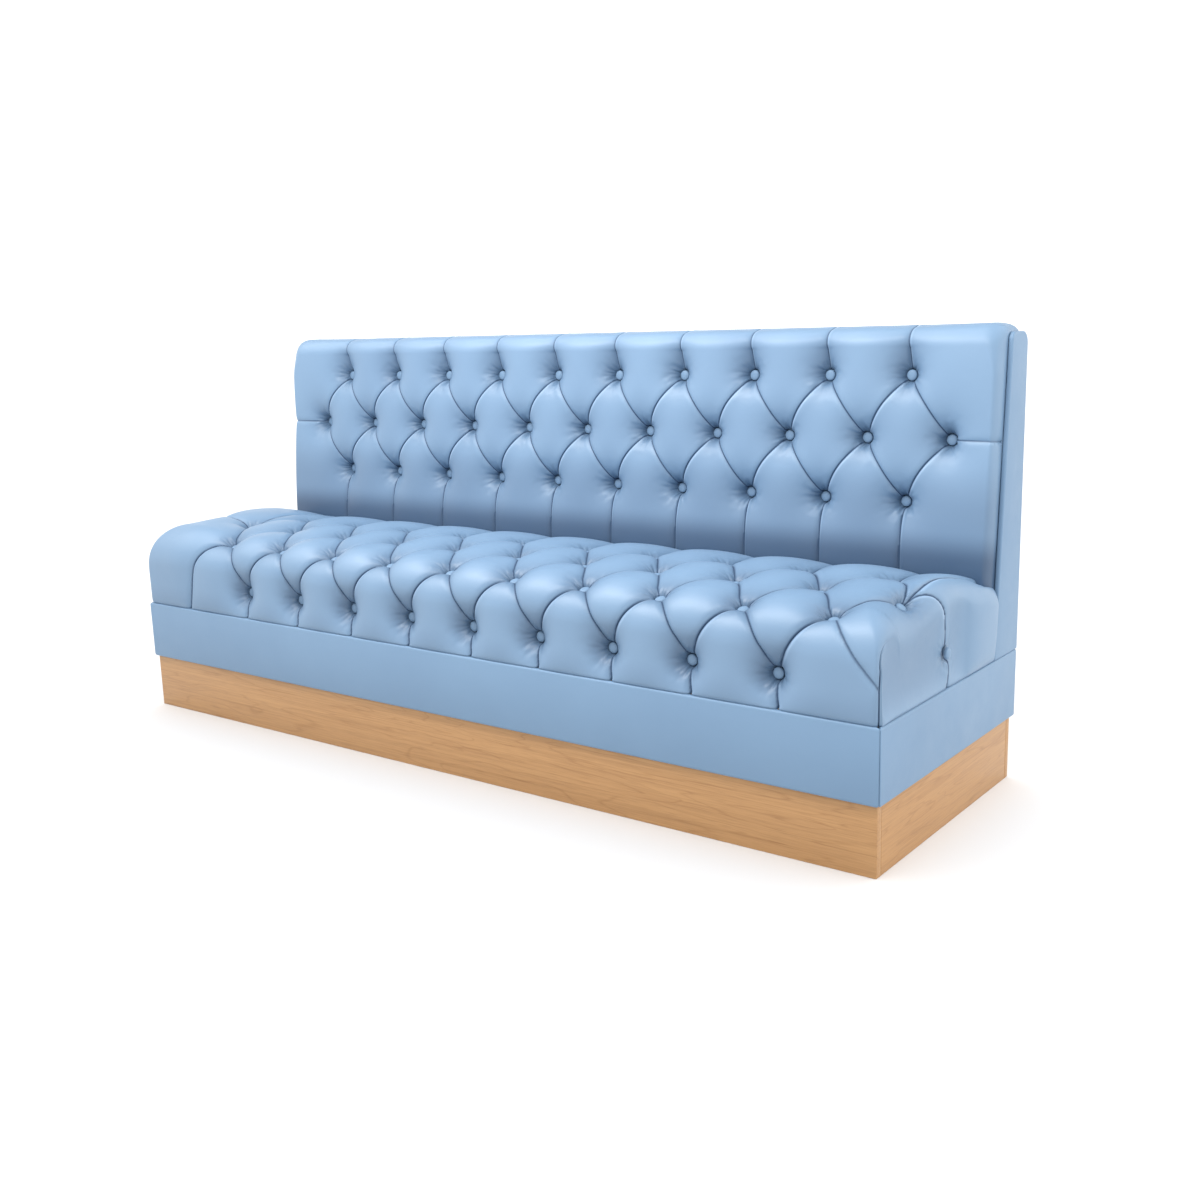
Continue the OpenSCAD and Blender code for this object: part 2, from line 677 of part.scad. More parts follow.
// Glued blocks in the four corners of a frame
module corner_blocks(x, y_front, y_rear, z_low, z_high, size) {
    color(pine)
        for (side = [-1, 1]) {
            between([side * x, y_front, z_low], [side * (x - size), y_front + size, z_high]);
            between([side * x, y_rear, z_low], [side * (x - size), y_rear - size, z_high]);
        }
}

module plinth_corner_blocks() {
    corner_blocks(plinth_x - plinth_board, -cleat_y, cleat_y, 0, plinth_height, plinth_block);
}

// Base frame
module base_front_rail() {
    color(pine) between([-frame_x, frame_front, plinth_height], [frame_x, frame_inner_front, deck_foot]);
}

module base_rear_rail() {
    color(pine) between([-frame_x, frame_inner_rear, plinth_height], [frame_x, half_depth, deck_foot]);
}

module base_side_rail(side) {
    color(pine) between([side * frame_x, frame_inner_front, plinth_height],
        [side * (frame_x - base_board), frame_inner_rear, deck_foot]);
}

module base_cross_ribs() {
    color(pine)
        difference() {
            for (x = rib_places)
                between([x - base_board / 2, frame_inner_front, plinth_height],
                    [x + base_board / 2, frame_inner_rear, deck_foot]);
            at_cleat_screws() screw_way(cleat_screw_length);
            at_deck_screws() screw_way(deck_screw_length);
        }
}

module base_corner_blocks() {
    corner_blocks(frame_x - base_board, frame_inner_front, frame_inner_rear,
        plinth_height, deck_foot, base_block);
}

module seat_deck() {
    color(ply)
        difference() {
            between([-frame_x, frame_front, deck_foot], [frame_x, half_depth, base_top]);
            at_deck_ties() tie_way(tie_bore, deck_grip);
            at_deck_screws() screw_way(deck_screw_length);
            at_deck_screws() translate([0, 0, -screw_head_h - over])
                cylinder(d = screw_head_d + 2 * bore_gap, h = screw_head_h + over);
            at_bolts(deck_foot - over) cylinder(d = bolt_d + 2 * bore_gap, h = deck_thickness + 2 * over);
        }
}

// Padded panels round the base, mitred at the front corners
module fascia_panel(outline) {
    color(vinyl) translate([0, 0, plinth_height]) linear_extrude(base_height) polygon(outline);
}

module fascia_front() {
    fascia_panel([[-half_width, -half_depth], [half_width, -half_depth],
        [frame_x, frame_front], [-frame_x, frame_front]]);
}

module fascia_side(side) {
    fascia_panel([[side * half_width, -half_depth], [side * half_width, half_depth],
        [side * frame_x, half_depth], [side * frame_x, frame_front]]);
}

// Seat: boards that stand round the foam, and take the outer ties
riser_front = core_front + soft_gap;
riser_x = core_x - soft_gap;
module seat_front_riser() {
    color(ply)
        difference() {
            between([-riser_x, riser_front, base_top],
                [riser_x, riser_front + riser_board, base_top + riser_height]);
            at_front_ties() tie_way(tie_bore, riser_grip);
        }
}

module seat_side_riser(side) {
    color(ply)
        difference() {
            between([side * riser_x, riser_front + riser_board, base_top],
                [side * (riser_x - riser_board), core_rear - soft_gap, base_top + riser_height]);
            at_end_tie(side) tie_way(tie_bore, riser_grip);
        }
}

// The foam stands between the risers, clear of their washers, and over them
module seat_foam() {
    clear = riser_board + tie_washer_t + soft_gap;
    top = core_top - soft_gap;
    color(foam)
        difference() {
            union() {
                between([-riser_x + clear, riser_front + clear, base_top],
                    [riser_x - clear, core_rear - soft_gap, top]);
                between([-riser_x, riser_front, base_top + riser_height + soft_gap],
                    [riser_x, core_rear - soft_gap, top]);
            }
            at_deck_ties() tie_way(foam_bore, deck_grip);
        }
}

// The tufted pad covers the seat's top, front and ends round the foam
module seat_cover() {
    rings = row_start(seat_columns, seat_mesh_rows);
    extra = rings + ring_sides * len(seat_buttons_all);
    last = seat_mesh_rows - 1;
    pocket = [[-core_x, core_front], [core_x, core_front], [core_x, core_rear], [-core_x, core_rear]];
    points = concat(
        [for (j = [0 : last], k = [0 : row_size(seat_columns, j) - 1]) seat_vertex(j, k)],
        [for (pin = seat_buttons_all) each ring_points(pin)],
        [for (c = pocket) [c[0], c[1], pad_foot]],
        [for (c = pocket) [c[0], c[1], core_top]],
        [for (side = [-1, 1]) [side * half_width, seat_rear_y(pad_foot), pad_foot]],
        [for (side = [-1, 1]) seat_end_button(side)[0]]
    );
    // Numbers of the extra vertices: the pocket's foot and ceiling, then the
    // rear corners at the foot, then the pits at the ends
    foot = extra;
    ceiling = extra + len(pocket);
    rear_left = ceiling + len(pocket);
    rear_right = rear_left + 1;
    pit_left = rear_right + 1;
    pit_right = pit_left + 1;
    front_edge = [for (k = [0 : seat_columns - 1]) k];
    crease = [for (k = [0 : seat_columns - 1]) row_start(seat_columns, last) + k];
    left_end = [for (j = [0 : last]) row_start(seat_columns, j)];
    right_end = [for (j = [0 : last]) row_start(seat_columns, j) + row_size(seat_columns, j) - 1];
    front_right = front_edge[seat_columns - 1];
    crease_right = crease[seat_columns - 1];
    faces = concat(
        sheet_faces(seat_columns, seat_mesh_rows, seat_first_p, seat_rows),
        fan(foot, front_edge, true),
        [[foot, foot + 1, front_right],
            [0, rear_left, foot + 3], [0, foot + 3, foot],
            [front_right, foot + 2, rear_right], [front_right, foot + 1, foot + 2],
            [rear_left, rear_right, foot + 2], [rear_left, foot + 2, foot + 3]],
        [for (i = [0 : 3]) each [[foot + i, ceiling + i, ceiling + (i + 1) % 4],
            [foot + i, ceiling + (i + 1) % 4, foot + (i + 1) % 4]]],
        [[ceiling, ceiling + 3, ceiling + 2], [ceiling, ceiling + 2, ceiling + 1]],
        fan(rear_left, crease),
        [[rear_left, crease_right, rear_right]],
        fan(pit_left, concat(left_end, [rear_left, 0])),
        fan(pit_right, concat(right_end, [rear_right, front_right]), true)
    );
    color(vinyl) polyhedron(points, clockwise(faces));
}

module seat_buttons() {
    color(vinyl_button) {
        for (pin = seat_buttons_all) looking(pin[0], pin[1]) button();
        for (side = [-1, 1])
            looking(seat_end_button(side)[0], seat_end_button(side)[1]) button(shank_length);
    }
}

module seat_button_ties() {
    color(twine) {
        at_deck_ties() tie(deck_grip);
        at_front_ties() tie(riser_grip);
        for (side = [-1, 1]) at_end_tie(side) tie(riser_grip);
    }
}

module seat_tie_washers() {
    color(steel) {
        at_deck_ties() tie_washer(deck_grip);
        at_front_ties() tie_washer(riser_grip);
        for (side = [-1, 1]) at_end_tie(side) tie_washer(riser_grip);
    }
}

// Backrest
back_top = back_rear_z - soft_gap;
module back_bottom_rail() {
    color(pine)
        difference() {
            along_bench(behind_board(base_top, base_top + back_rib), -back_half, back_half);
            at_bolts(base_top - over) cylinder(d = bolt_d + 2 * bore_gap, h = back_rib + 2 * over);
        }
}

module back_top_rail() {
    color(pine) along_bench(behind_board(back_top - back_rib, back_top), -back_half, back_half);
}

module back_rib_at(x) {
    color(pine)
        along_bench(behind_board(base_top + back_rib, back_top - back_rib),
            x - back_rib / 2, x + back_rib / 2);
}

module back_mid_ribs() {
    for (x = back_rib_places) back_rib_at(x);
}

module back_face_board() {
    color(ply)
        difference() {
            along_bench(leaning(board_front, board_back, base_top, back_top), -back_half, back_half);
            at_back_ties() tie_way(tie_bore, back_grip);
        }
}

module back_foam() {
    color(foam)
        difference() {
            along_bench(leaning(pad_back + soft_gap, board_front, pad_foot, back_top),
                -pad_half, pad_half);
            at_back_ties() tie_way(foam_bore, back_foam_thickness);
        }
}

// The tufted pad of the backrest also caps the top rail
module back_cover() {
    rings = row_start(back_columns, back_mesh_rows);
    extra = rings + ring_sides * len(back_buttons_all);
    last = back_mesh_rows - 1;
    points = concat(
        [for (j = [0 : last], k = [0 : row_size(back_columns, j) - 1]) back_vertex(j, k)],
        [for (pin = back_buttons_all) each ring_points(pin)],
        [for (z = [pad_foot, back_rear_z], side = [-1, 1]) [side * pad_half, behind_seam(pad_back, z), z]]
    );
    foot_left = extra;
    foot_right = extra + 1;
    top_left = extra + 2;
    top_right = extra + 3;
    foot_edge = [for (k = [0 : back_columns - 1]) k];
    rear_edge = [for (k = [0 : back_columns - 1]) row_start(back_columns, last) + k];
    left_end = [for (j = [0 : last]) row_start(back_columns, j)];
    right_end = [for (j = [0 : last]) row_start(back_columns, j) + row_size(back_columns, j) - 1];
    faces = concat(
        sheet_faces(back_columns, back_mesh_rows, back_first_p, back_rows),
        fan(foot_left, foot_edge, true),
        [[foot_left, foot_right, foot_edge[back_columns - 1]],
            [foot_left, top_left, top_right], [foot_left, top_right, foot_right]],
        fan(top_left, rear_edge),
        [[top_left, rear_edge[back_columns - 1], top_right]],
        fan(top_left, left_end), [[top_left, foot_left, 0]],
        fan(top_right, right_end, true), [[top_right, right_end[0], foot_right]]
    );
    color(vinyl) polyhedron(points, clockwise(faces));
}

// Padded panels that close the backrest's ends, rounded over like the pad
end_panel_top = overall_height - back_top_edge;
end_panel_steps = 8;
end_panel_outline = concat(
    [[behind_seam(back_edge_radius - back_swell, pad_foot), pad_foot]],
    [for (i = [0 : end_panel_steps])
        let (v = lerp(back_face, back_roll_end, i / end_panel_steps), place = back_profile(v))
        [place[0] - back_edge(v) * place[2], place[1] - back_edge(v) * place[3]]],
    [for (i = [0 : end_panel_steps])
        let (a = lerp(0, 90, i / end_panel_steps))
        [half_depth - end_panel_corner * (1 - sin(a)), end_panel_top - end_panel_corner * (1 - cos(a))]],
    [[half_depth, pad_foot]]
);
module back_end_panel(side) {
    x = side * (back_half + end_panel_thickness / 2);
    color(vinyl) along_bench(end_panel_outline, x - end_panel_thickness / 2, x + end_panel_thickness / 2);
}

module back_rear_panel() {
    color(black_cloth) between([-back_half, rear_y, base_top], [back_half, half_depth, back_top]);
}

module back_buttons() {
    color(vinyl_button) for (pin = back_buttons_all) looking(pin[0], pin[1]) button();
}

module back_button_ties() {
    color(twine) at_back_ties() tie(back_grip);
}

module back_tie_washers() {
    color(steel) at_back_ties() tie_washer(back_grip);
}

// Fasteners
module base_screws() {
    color(steel) at_cleat_screws() screw(cleat_screw_length);
}

module deck_screws() {
    color(steel) at_deck_screws() screw(deck_screw_length);
}

bolt_top = base_top + back_rib + bolt_washer_t;
bolt_foot = deck_foot - bolt_washer_t;
module back_bolts() {
    color(steel)
        at_bolts(bolt_top) {
            cylinder(d = bolt_corners, h = bolt_head_h, $fn = 6);
            translate([0, 0, -bolt_grip - bolt_head_h - bolt_tail])
                cylinder(d = bolt_d, h = bolt_grip + bolt_head_h + bolt_tail);
        }
}

module bolt_ring(outer, height, sides) {
    difference() {
        cylinder(d = outer, h = height, $fn = sides);
        translate([0, 0, -over]) cylinder(d = bolt_d + 2 * bore_gap, h = height + 2 * over);
    }
}

module back_bolt_washers() {
    color(steel) {
        at_bolts(bolt_top - bolt_washer_t) bolt_ring(bolt_washer_d, bolt_washer_t, $fn);
        at_bolts(bolt_foot) bolt_ring(bolt_washer_d, bolt_washer_t, $fn);
    }
}

module back_bolt_nuts() {
    color(steel) at_bolts(bolt_foot - bolt_head_h) bolt_ring(bolt_corners, bolt_head_h, 6);
}

plinth_long_board(-1);  // plinth_front_board
plinth_long_board(1);  // plinth_rear_board
plinth_side_board(-1);  // plinth_left_board
plinth_side_board(1);  // plinth_right_board
plinth_cross_rails();
plinth_cleats();
plinth_corner_blocks();
base_front_rail();
base_rear_rail();
base_side_rail(-1);  // base_left_rail
base_side_rail(1);  // base_right_rail
base_cross_ribs();
base_corner_blocks();
seat_deck();
fascia_front();
fascia_side(-1);  // fascia_left
fascia_side(1);  // fascia_right
seat_front_riser();
seat_side_riser(-1);  // seat_left_riser
seat_side_riser(1);  // seat_right_riser
seat_foam();
seat_cover();
seat_buttons();
seat_button_ties();
seat_tie_washers();
back_bottom_rail();
back_top_rail();
back_rib_at(-back_half + back_rib / 2);  // back_left_rib
back_rib_at(back_half - back_rib / 2);  // back_right_rib
back_mid_ribs();
back_face_board();
back_foam();
back_cover();
back_end_panel(-1);  // back_left_panel
back_end_panel(1);  // back_right_panel
back_rear_panel();
back_buttons();
back_button_ties();
back_tie_washers();
base_screws();
deck_screws();
back_bolts();
back_bolt_washers();
back_bolt_nuts();
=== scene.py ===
import math

import bpy
import numpy as np
from mathutils import Matrix, Vector


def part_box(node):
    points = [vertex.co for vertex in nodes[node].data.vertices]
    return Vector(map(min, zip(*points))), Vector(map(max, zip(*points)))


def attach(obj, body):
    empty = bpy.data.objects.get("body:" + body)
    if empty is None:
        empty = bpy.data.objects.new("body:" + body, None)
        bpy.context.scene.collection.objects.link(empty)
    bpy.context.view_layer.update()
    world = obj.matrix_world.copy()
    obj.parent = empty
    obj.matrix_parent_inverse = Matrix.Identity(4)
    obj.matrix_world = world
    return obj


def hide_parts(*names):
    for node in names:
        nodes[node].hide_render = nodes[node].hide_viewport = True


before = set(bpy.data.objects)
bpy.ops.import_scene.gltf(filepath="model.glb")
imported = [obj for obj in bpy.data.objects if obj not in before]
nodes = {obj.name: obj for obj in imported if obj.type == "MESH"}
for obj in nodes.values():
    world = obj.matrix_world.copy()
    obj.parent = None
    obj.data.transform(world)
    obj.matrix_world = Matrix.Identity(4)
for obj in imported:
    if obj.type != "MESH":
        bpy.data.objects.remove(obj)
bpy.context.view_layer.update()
mm = 0.001


# Camera. It stands in front of the bench's right end, a little above the
# backrest, and looks down to the left, as the photographer did.
lens_mm = 39.34
sensor_mm = 36
camera_place = Vector((1.9746, -2.3063, 0.9685))
camera_turn = 0.6538
camera_down = 0.2077
camera_roll = -0.03
look = Vector((-math.sin(camera_turn) * math.cos(camera_down),
               math.cos(camera_turn) * math.cos(camera_down), -math.sin(camera_down)))
level = Vector((math.cos(camera_turn), math.sin(camera_turn), 0))
upright = level.cross(look)
right = math.cos(camera_roll) * level + math.sin(camera_roll) * upright
top = math.cos(camera_roll) * upright - math.sin(camera_roll) * level
camera = bpy.data.objects.new("camera", bpy.data.cameras.new("camera"))
camera.data.lens = lens_mm
camera.data.sensor_width = sensor_mm
camera.matrix_world = Matrix.Translation(camera_place) @ Matrix((right, top, -look)).transposed().to_4x4()
bpy.context.scene.collection.objects.link(camera)
bpy.context.scene.camera = camera


# Plinth. Four boards of steamed beech, butted at the corners, so that the end
# of the long front board shows on the side. They are glued to blocks in the
# corners, with their edges eased and a satin lacquer.
beech_light = (0.455, 0.252, 0.104, 1)
beech_mid = (0.352, 0.180, 0.069, 1)
beech_dark = (0.20, 0.095, 0.038, 1)
board_ease = 1.6 * mm
smooth_angle = math.radians(40)
lacquer_roughness = 0.42


def new_material(name):
    material = bpy.data.materials.new(name)
    material.use_nodes = True
    tree = material.node_tree
    shader = next(n for n in tree.nodes if n.type == "BSDF_PRINCIPLED")
    return material, tree, shader


def join(value, socket):
    if isinstance(value, bpy.types.NodeSocket):
        socket.id_data.links.new(value, socket)
    else:
        socket.default_value = value


def feed(node, **inputs):
    """Links or sets inputs of a node. Their names have _ for each space."""
    for name, value in inputs.items():
        join(value, node.inputs[name.replace("_", " ")])


def add_node(tree, kind, settings=None, **inputs):
    node = tree.nodes.new(kind)
    for name, value in (settings or {}).items():
        setattr(node, name, value)
    feed(node, **inputs)
    return node


def on_piece(tree):
    return add_node(tree, "ShaderNodeTexCoord").outputs["Object"]


def noise(place, **inputs):
    return add_node(place.id_data, "ShaderNodeTexNoise", Vector=place, **inputs).outputs["Fac"]


def ranged(source, curve="LINEAR", **limits):
    settings = {"interpolation_type": curve}
    return add_node(source.id_data, "ShaderNodeMapRange", settings, Value=source, **limits).outputs["Result"]


def bumped(height, strength, distance, **under):
    return add_node(height.id_data, "ShaderNodeBump", Height=height, Strength=strength, Distance=distance,
                    **under).outputs["Normal"]


def combine(operation, first, second):
    node = add_node(first.id_data, "ShaderNodeMath", {"operation": operation})
    join(first, node.inputs[0])
    join(second, node.inputs[1])
    return node.outputs[0]


def times(first, second):
    return combine("MULTIPLY", first, second)


def blended(share, first, second, blend="MIX"):
    settings = {"data_type": "RGBA", "blend_type": blend}
    mix = add_node(first.id_data, "ShaderNodeMix", settings, Factor=share, A=first, B=second)
    return mix.outputs["Result"]


def colour_ramp(source, *stops):
    ramp = add_node(source.id_data, "ShaderNodeValToRGB", Fac=source)
    elements = ramp.color_ramp.elements
    while len(elements) < len(stops):
        elements.new(0.5)
    for element, (place, colour) in zip(elements, stops):
        element.position = place
        element.color = colour
    return ramp.outputs["Color"]


def wood(name, along, light, mid, dark, roughness, figure=1.0):
    material, tree, shader = new_material(name)
    place = on_piece(tree)

    def grain(slow, fast, **inputs):
        """Noise that is drawn out along the board."""
        scale = [slow if axis == along else fast for axis in "XYZ"]
        drawn_out = add_node(tree, "ShaderNodeMapping", Vector=place, Scale=scale)
        return noise(drawn_out.outputs["Vector"], **inputs)

    growth = grain(0.8, 9, Scale=1.7 * figure, Detail=3.0, Roughness=0.45, Distortion=0.35)
    rings = combine("PINGPONG", times(growth, 24.0), 1.0)
    pores = grain(8, 260, Scale=3.0, Detail=3.0, Roughness=0.6)
    streaks = grain(1.2, 55, Scale=2.0, Detail=4.0, Roughness=0.6)
    lines = grain(2.2, 190, Scale=2.0, Detail=3.0, Roughness=0.55)
    tone = colour_ramp(rings, (0.0, mid), (0.20, light), (1.0, light))
    tone = blended(0.45, tone, colour_ramp(streaks, (0.32, mid), (0.62, light)))
    for share, source, open_at in ((0.15, lines, 0.54), (0.16, pores, 0.50)):
        tone = blended(share, tone, colour_ramp(source, (0.34, dark), (open_at, (1, 1, 1, 1))), "MULTIPLY")
    shine = ranged(pores, To_Min=roughness - 0.06, To_Max=roughness + 0.08)
    feed(shader, Base_Color=tone, Roughness=shine, Normal=bumped(pores, 0.12, 0.0004))
    return material


def only(piece):
    bpy.ops.object.select_all(action="DESELECT")
    piece.select_set(True)
    bpy.context.view_layer.objects.active = piece


def finish_modifier(piece, kind, **settings):
    only(piece)
    modifier = piece.modifiers.new("shape", kind)
    for name, value in settings.items():
        setattr(modifier, name, value)
    bpy.ops.object.modifier_apply(modifier=modifier.name)


def eased(piece, width, segments=3, corner=30):
    """Rounds the edges that turn by more than the corner's degrees."""
    finish_modifier(piece, "BEVEL", width=width, segments=segments, limit_method="ANGLE",
                    angle_limit=math.radians(corner))
    bpy.ops.object.shade_smooth_by_angle(angle=smooth_angle)


def block(name, low, high):
    low, high = Vector(low), Vector(high)
    bpy.ops.mesh.primitive_cube_add(size=1, location=(low + high) / 2)
    piece = bpy.context.active_object
    piece.name = piece.data.name = name
    piece.scale = high - low
    bpy.ops.object.transform_apply(location=True, rotation=True, scale=True)
    return piece


def fit(piece, material, node):
    piece.data.materials.clear()
    piece.data.materials.append(material)
    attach(piece, "root")
    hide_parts(node)


beech = (beech_light, beech_mid, beech_dark, lacquer_roughness)
beech_lengthways = wood("beech_lengthways", "X", *beech)
beech_crossways = wood("beech_crossways", "Y", *beech)
for side, material in (("front", beech_lengthways), ("rear", beech_lengthways),
                       ("left", beech_crossways), ("right", beech_crossways)):
    node = "plinth_%s_board" % side
    board = block("plinth_board_" + side, *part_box(node))
    eased(board, board_ease)
    fit(board, material, node)


# Frames of the plinth, the base and the backrest. Rails, ribs, cleats and glued
# blocks of planed pine, screwed and bolted under a birch plywood deck. Plywood
# boards stand round the seat's foam and carry the backrest's pad.
pine_light = (0.66, 0.47, 0.25, 1)
pine_mid = (0.53, 0.33, 0.15, 1)
pine_dark = (0.36, 0.20, 0.08, 1)
ply_light = (0.58, 0.42, 0.25, 1)
ply_mid = (0.49, 0.33, 0.18, 1)
steel_colour = (0.56, 0.57, 0.58, 1)
twine_colour = (0.60, 0.55, 0.44, 1)
pine_roughness, pine_figure = 0.6, 1.4
ply_roughness, ply_figure = 0.65, 0.7


def dress(material, *names):
    for name in names:
        mesh = nodes[name].data
        mesh.materials.clear()
        mesh.materials.append(material)


def shaded(colour, share):
    return tuple(share * c for c in colour[:3]) + (1,)


def zinc_steel():
    material, tree, shader = new_material("zinc_plated_steel")
    spangle = noise(on_piece(tree), Scale=300.0, Detail=3.0)
    tone = colour_ramp(spangle, (0.3, shaded(steel_colour, 0.8)), (0.7, steel_colour))
    shine = ranged(spangle, To_Min=0.25, To_Max=0.45)
    feed(shader, Base_Color=tone, Metallic=1.0, Roughness=shine)
    return material


def waxed_twine():
    material, tree, shader = new_material("waxed_twine")
    plies = add_node(tree, "ShaderNodeTexWave", {"bands_direction": "DIAGONAL"}, Vector=on_piece(tree),
                     Scale=260.0, Distortion=1.5).outputs["Fac"]
    tone = colour_ramp(plies, (0.2, shaded(twine_colour, 0.6)), (0.8, twine_colour))
    feed(shader, Base_Color=tone, Roughness=0.8, Normal=bumped(plies, 0.5, 0.0004))
    return material


pine = (pine_light, pine_mid, pine_dark, pine_roughness, pine_figure)
dress(wood("pine_lengthways", "X", *pine),
      "plinth_cleats", "base_front_rail", "base_rear_rail", "back_bottom_rail", "back_top_rail")
dress(wood("pine_crossways", "Y", *pine),
      "plinth_cross_rails", "base_left_rail", "base_right_rail", "base_cross_ribs")
dress(wood("pine_upright", "Z", *pine),
      "plinth_corner_blocks", "base_corner_blocks", "back_left_rib", "back_right_rib", "back_mid_ribs")
dress(wood("birch_plywood", "X", ply_light, ply_mid, pine_dark, ply_roughness, ply_figure),
      "seat_deck", "seat_front_riser", "seat_left_riser", "seat_right_riser", "back_face_board")
dress(zinc_steel(), "base_screws", "deck_screws", "back_bolts", "back_bolt_washers", "back_bolt_nuts",
      "seat_tie_washers", "back_tie_washers")
dress(waxed_twine(), "seat_button_ties", "back_button_ties")


# Fascia. Three panels covered in the same vinyl as the seat, over thin foam,
# that are pinned round the base and meet in a seam at each front corner.
vinyl_colour = (0.156, 0.253, 0.380, 1)
vinyl_pale = (0.171, 0.275, 0.407, 1)
fascia_roll = 5.0 * mm
fascia_gloss = 0.3


def vinyl(name, gloss, finish=None):
    material, tree, shader = new_material(name)
    place = on_piece(tree)
    cloud = noise(place, Scale=3.5, Detail=4.0, Roughness=0.5)
    tone = colour_ramp(cloud, (0.3, vinyl_colour), (0.7, vinyl_pale))
    polish = noise(place, Scale=12.0, Detail=3.0, Roughness=0.6)
    shine = ranged(polish, From_Min=0.3, From_Max=0.7, To_Min=0.38, To_Max=0.48)
    crumple = noise(place, Scale=70.0, Detail=5.0, Roughness=0.6)
    normal = bumped(crumple, 0.12, 0.0016)
    if finish:
        tone, shine, normal = finish(tree, tone, shine, normal)
    grain = add_node(tree, "ShaderNodeTexVoronoi", {"feature": "SMOOTH_F1"}, Vector=place, Scale=900.0,
                     Smoothness=0.6, Randomness=1.0).outputs["Distance"]
    feed(shader, Base_Color=tone, Roughness=shine, Specular_IOR_Level=gloss,
         Normal=bumped(grain, 0.12, 0.0006, Normal=normal))
    return material


vinyl_plain = vinyl("vinyl_plain", fascia_gloss)
for side in ("front", "left", "right"):
    node = "fascia_" + side
    low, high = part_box(node)
    panel = block("fascia_panel_" + side, low, high)
    # The panels are mitred where they meet at the front corners
    for vertex in panel.data.vertices:
        if side == "front" and vertex.co.y > (low.y + high.y) / 2:
            vertex.co.x -= math.copysign(high.y - low.y, vertex.co.x)
        if side != "front" and vertex.co.y < 0 and abs(vertex.co.x) < max(abs(low.x), abs(high.x)) - mm:
            vertex.co.y += high.x - low.x
    eased(panel, fascia_roll, segments=5)
    fit(panel, vinyl_plain, node)


# Seat foam. One block of firm upholstery foam, let down inside the plywood
# boards and bored for the buttons' ties.
foam_colour = (0.72, 0.66, 0.46, 1)
riser_height = 95 * mm
riser_room = 12.6 * mm
foam_ease = 4 * mm


def upholstery_foam():
    material, tree, shader = new_material("upholstery_foam")
    cells = add_node(tree, "ShaderNodeTexVoronoi", Vector=on_piece(tree), Scale=700.0).outputs["Distance"]
    tone = colour_ramp(cells, (0.05, shaded(foam_colour, 0.55)), (0.45, foam_colour))
    feed(shader, Base_Color=tone, Roughness=0.95, Normal=bumped(cells, 0.6, 0.0012))
    return material


def pick(piece, kind, wanted):
    """Selects the faces or the edges that are wanted, and enters edit mode."""
    only(piece)
    mesh = piece.data
    for part in (mesh.vertices, mesh.edges, mesh.polygons):
        part.foreach_set("select", np.zeros(len(part), bool))
    for element in mesh.polygons if kind == "FACE" else mesh.edges:
        element.select = bool(wanted(element))
    bpy.ops.object.mode_set(mode="EDIT")
    bpy.ops.mesh.select_mode(type=kind)


foam = upholstery_foam()
low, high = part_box("seat_foam")
seat_foam = block("seat_foam_block", (low.x, low.y, low.z + riser_height), high)
pick(seat_foam, "FACE", lambda face: face.normal.z < -0.9)
bpy.ops.mesh.inset(thickness=riser_room)
bpy.ops.mesh.extrude_region_move(TRANSFORM_OT_translate={"value": (0, 0, -riser_height)})
bpy.ops.object.mode_set(mode="OBJECT")
eased(seat_foam, foam_ease)
fit(seat_foam, foam, "seat_foam")


# Seat cover. One sheet of vinyl over a foam pad, drawn down by rows of covered
# buttons. The spare cloth is folded into pleats from button to button, down to
# the base and over the ends, and it is sewn up the front corners.
half_width = 1050.0
half_depth = 325.0
overall_height = 950.0
base_top = 280.0
soft_gap = 0.3
panel_thickness = 10.0
pad_foot = base_top + soft_gap
back_foot_depth = 129.0
back_top_depth = 85.0
back_lean = math.atan2(back_foot_depth - back_top_depth, overall_height - base_top)
back_swell = 30.0
back_edge_radius = 34.0
back_side_reach = 15.0
pad_half = half_width - panel_thickness - soft_gap
seat_height = 480.0
seat_pit = 46.0
seat_rear_pit = 30.0
seat_fold = 12.0
seat_roll_radius = 94.0
seat_axis_y = -half_depth + seat_roll_radius
seat_axis_z = seat_height - seat_roll_radius
seat_rise = seat_axis_z - pad_foot
seat_roll_end = seat_rise + seat_roll_radius * math.pi / 2
seat_crease_z = 452.0
seat_crown = 14.0
seat_fall = 28.0
seat_corner_radius = 14.0
seat_end_radius = 98.0
seat_rear_end_radius = 60.0
seat_edge_run = 200.0
seat_spacing = 187.0
seat_shift = 80.0
seat_end_button = (1037.0, -35.0, 348.0)
button_d = 23.0
button_margin = 2.0
pleat_bow = 1.7
fold_depth, fold_width = 2.4, 1.3
gather_reach = 26.0
pleat_reach = 12.0
foot_pleat_depth, foot_pleat_reach = 4.0, 26.0
rear_pleat_depth, rear_pleat_reach = 11.0, 36.0
rim_gap = 0.7
cover_gloss = 0.5
seat_line_share = 0.72
crease_width = 3.2
lip_line, lip_from, lip_to = 3.6, 1.2, 9.0
# The dark colour that the painted shade in the pleats, the pits and the gathers blends towards
vinyl_painted_shade = (0.010, 0.034, 0.086, 1)
# The pale colour of the painted highlight on the lit lip beside each pleat
vinyl_painted_highlight = (0.40, 0.56, 0.76, 1)


def attribute(tree, name, output="Fac"):
    return add_node(tree, "ShaderNodeAttribute", {"attribute_name": name}).outputs[output]


def falling(source, full, none):
    """Goes smoothly from 1, where the source is full, to 0, where it is none."""
    return ranged(source, "SMOOTHSTEP", From_Min=none, From_Max=full)


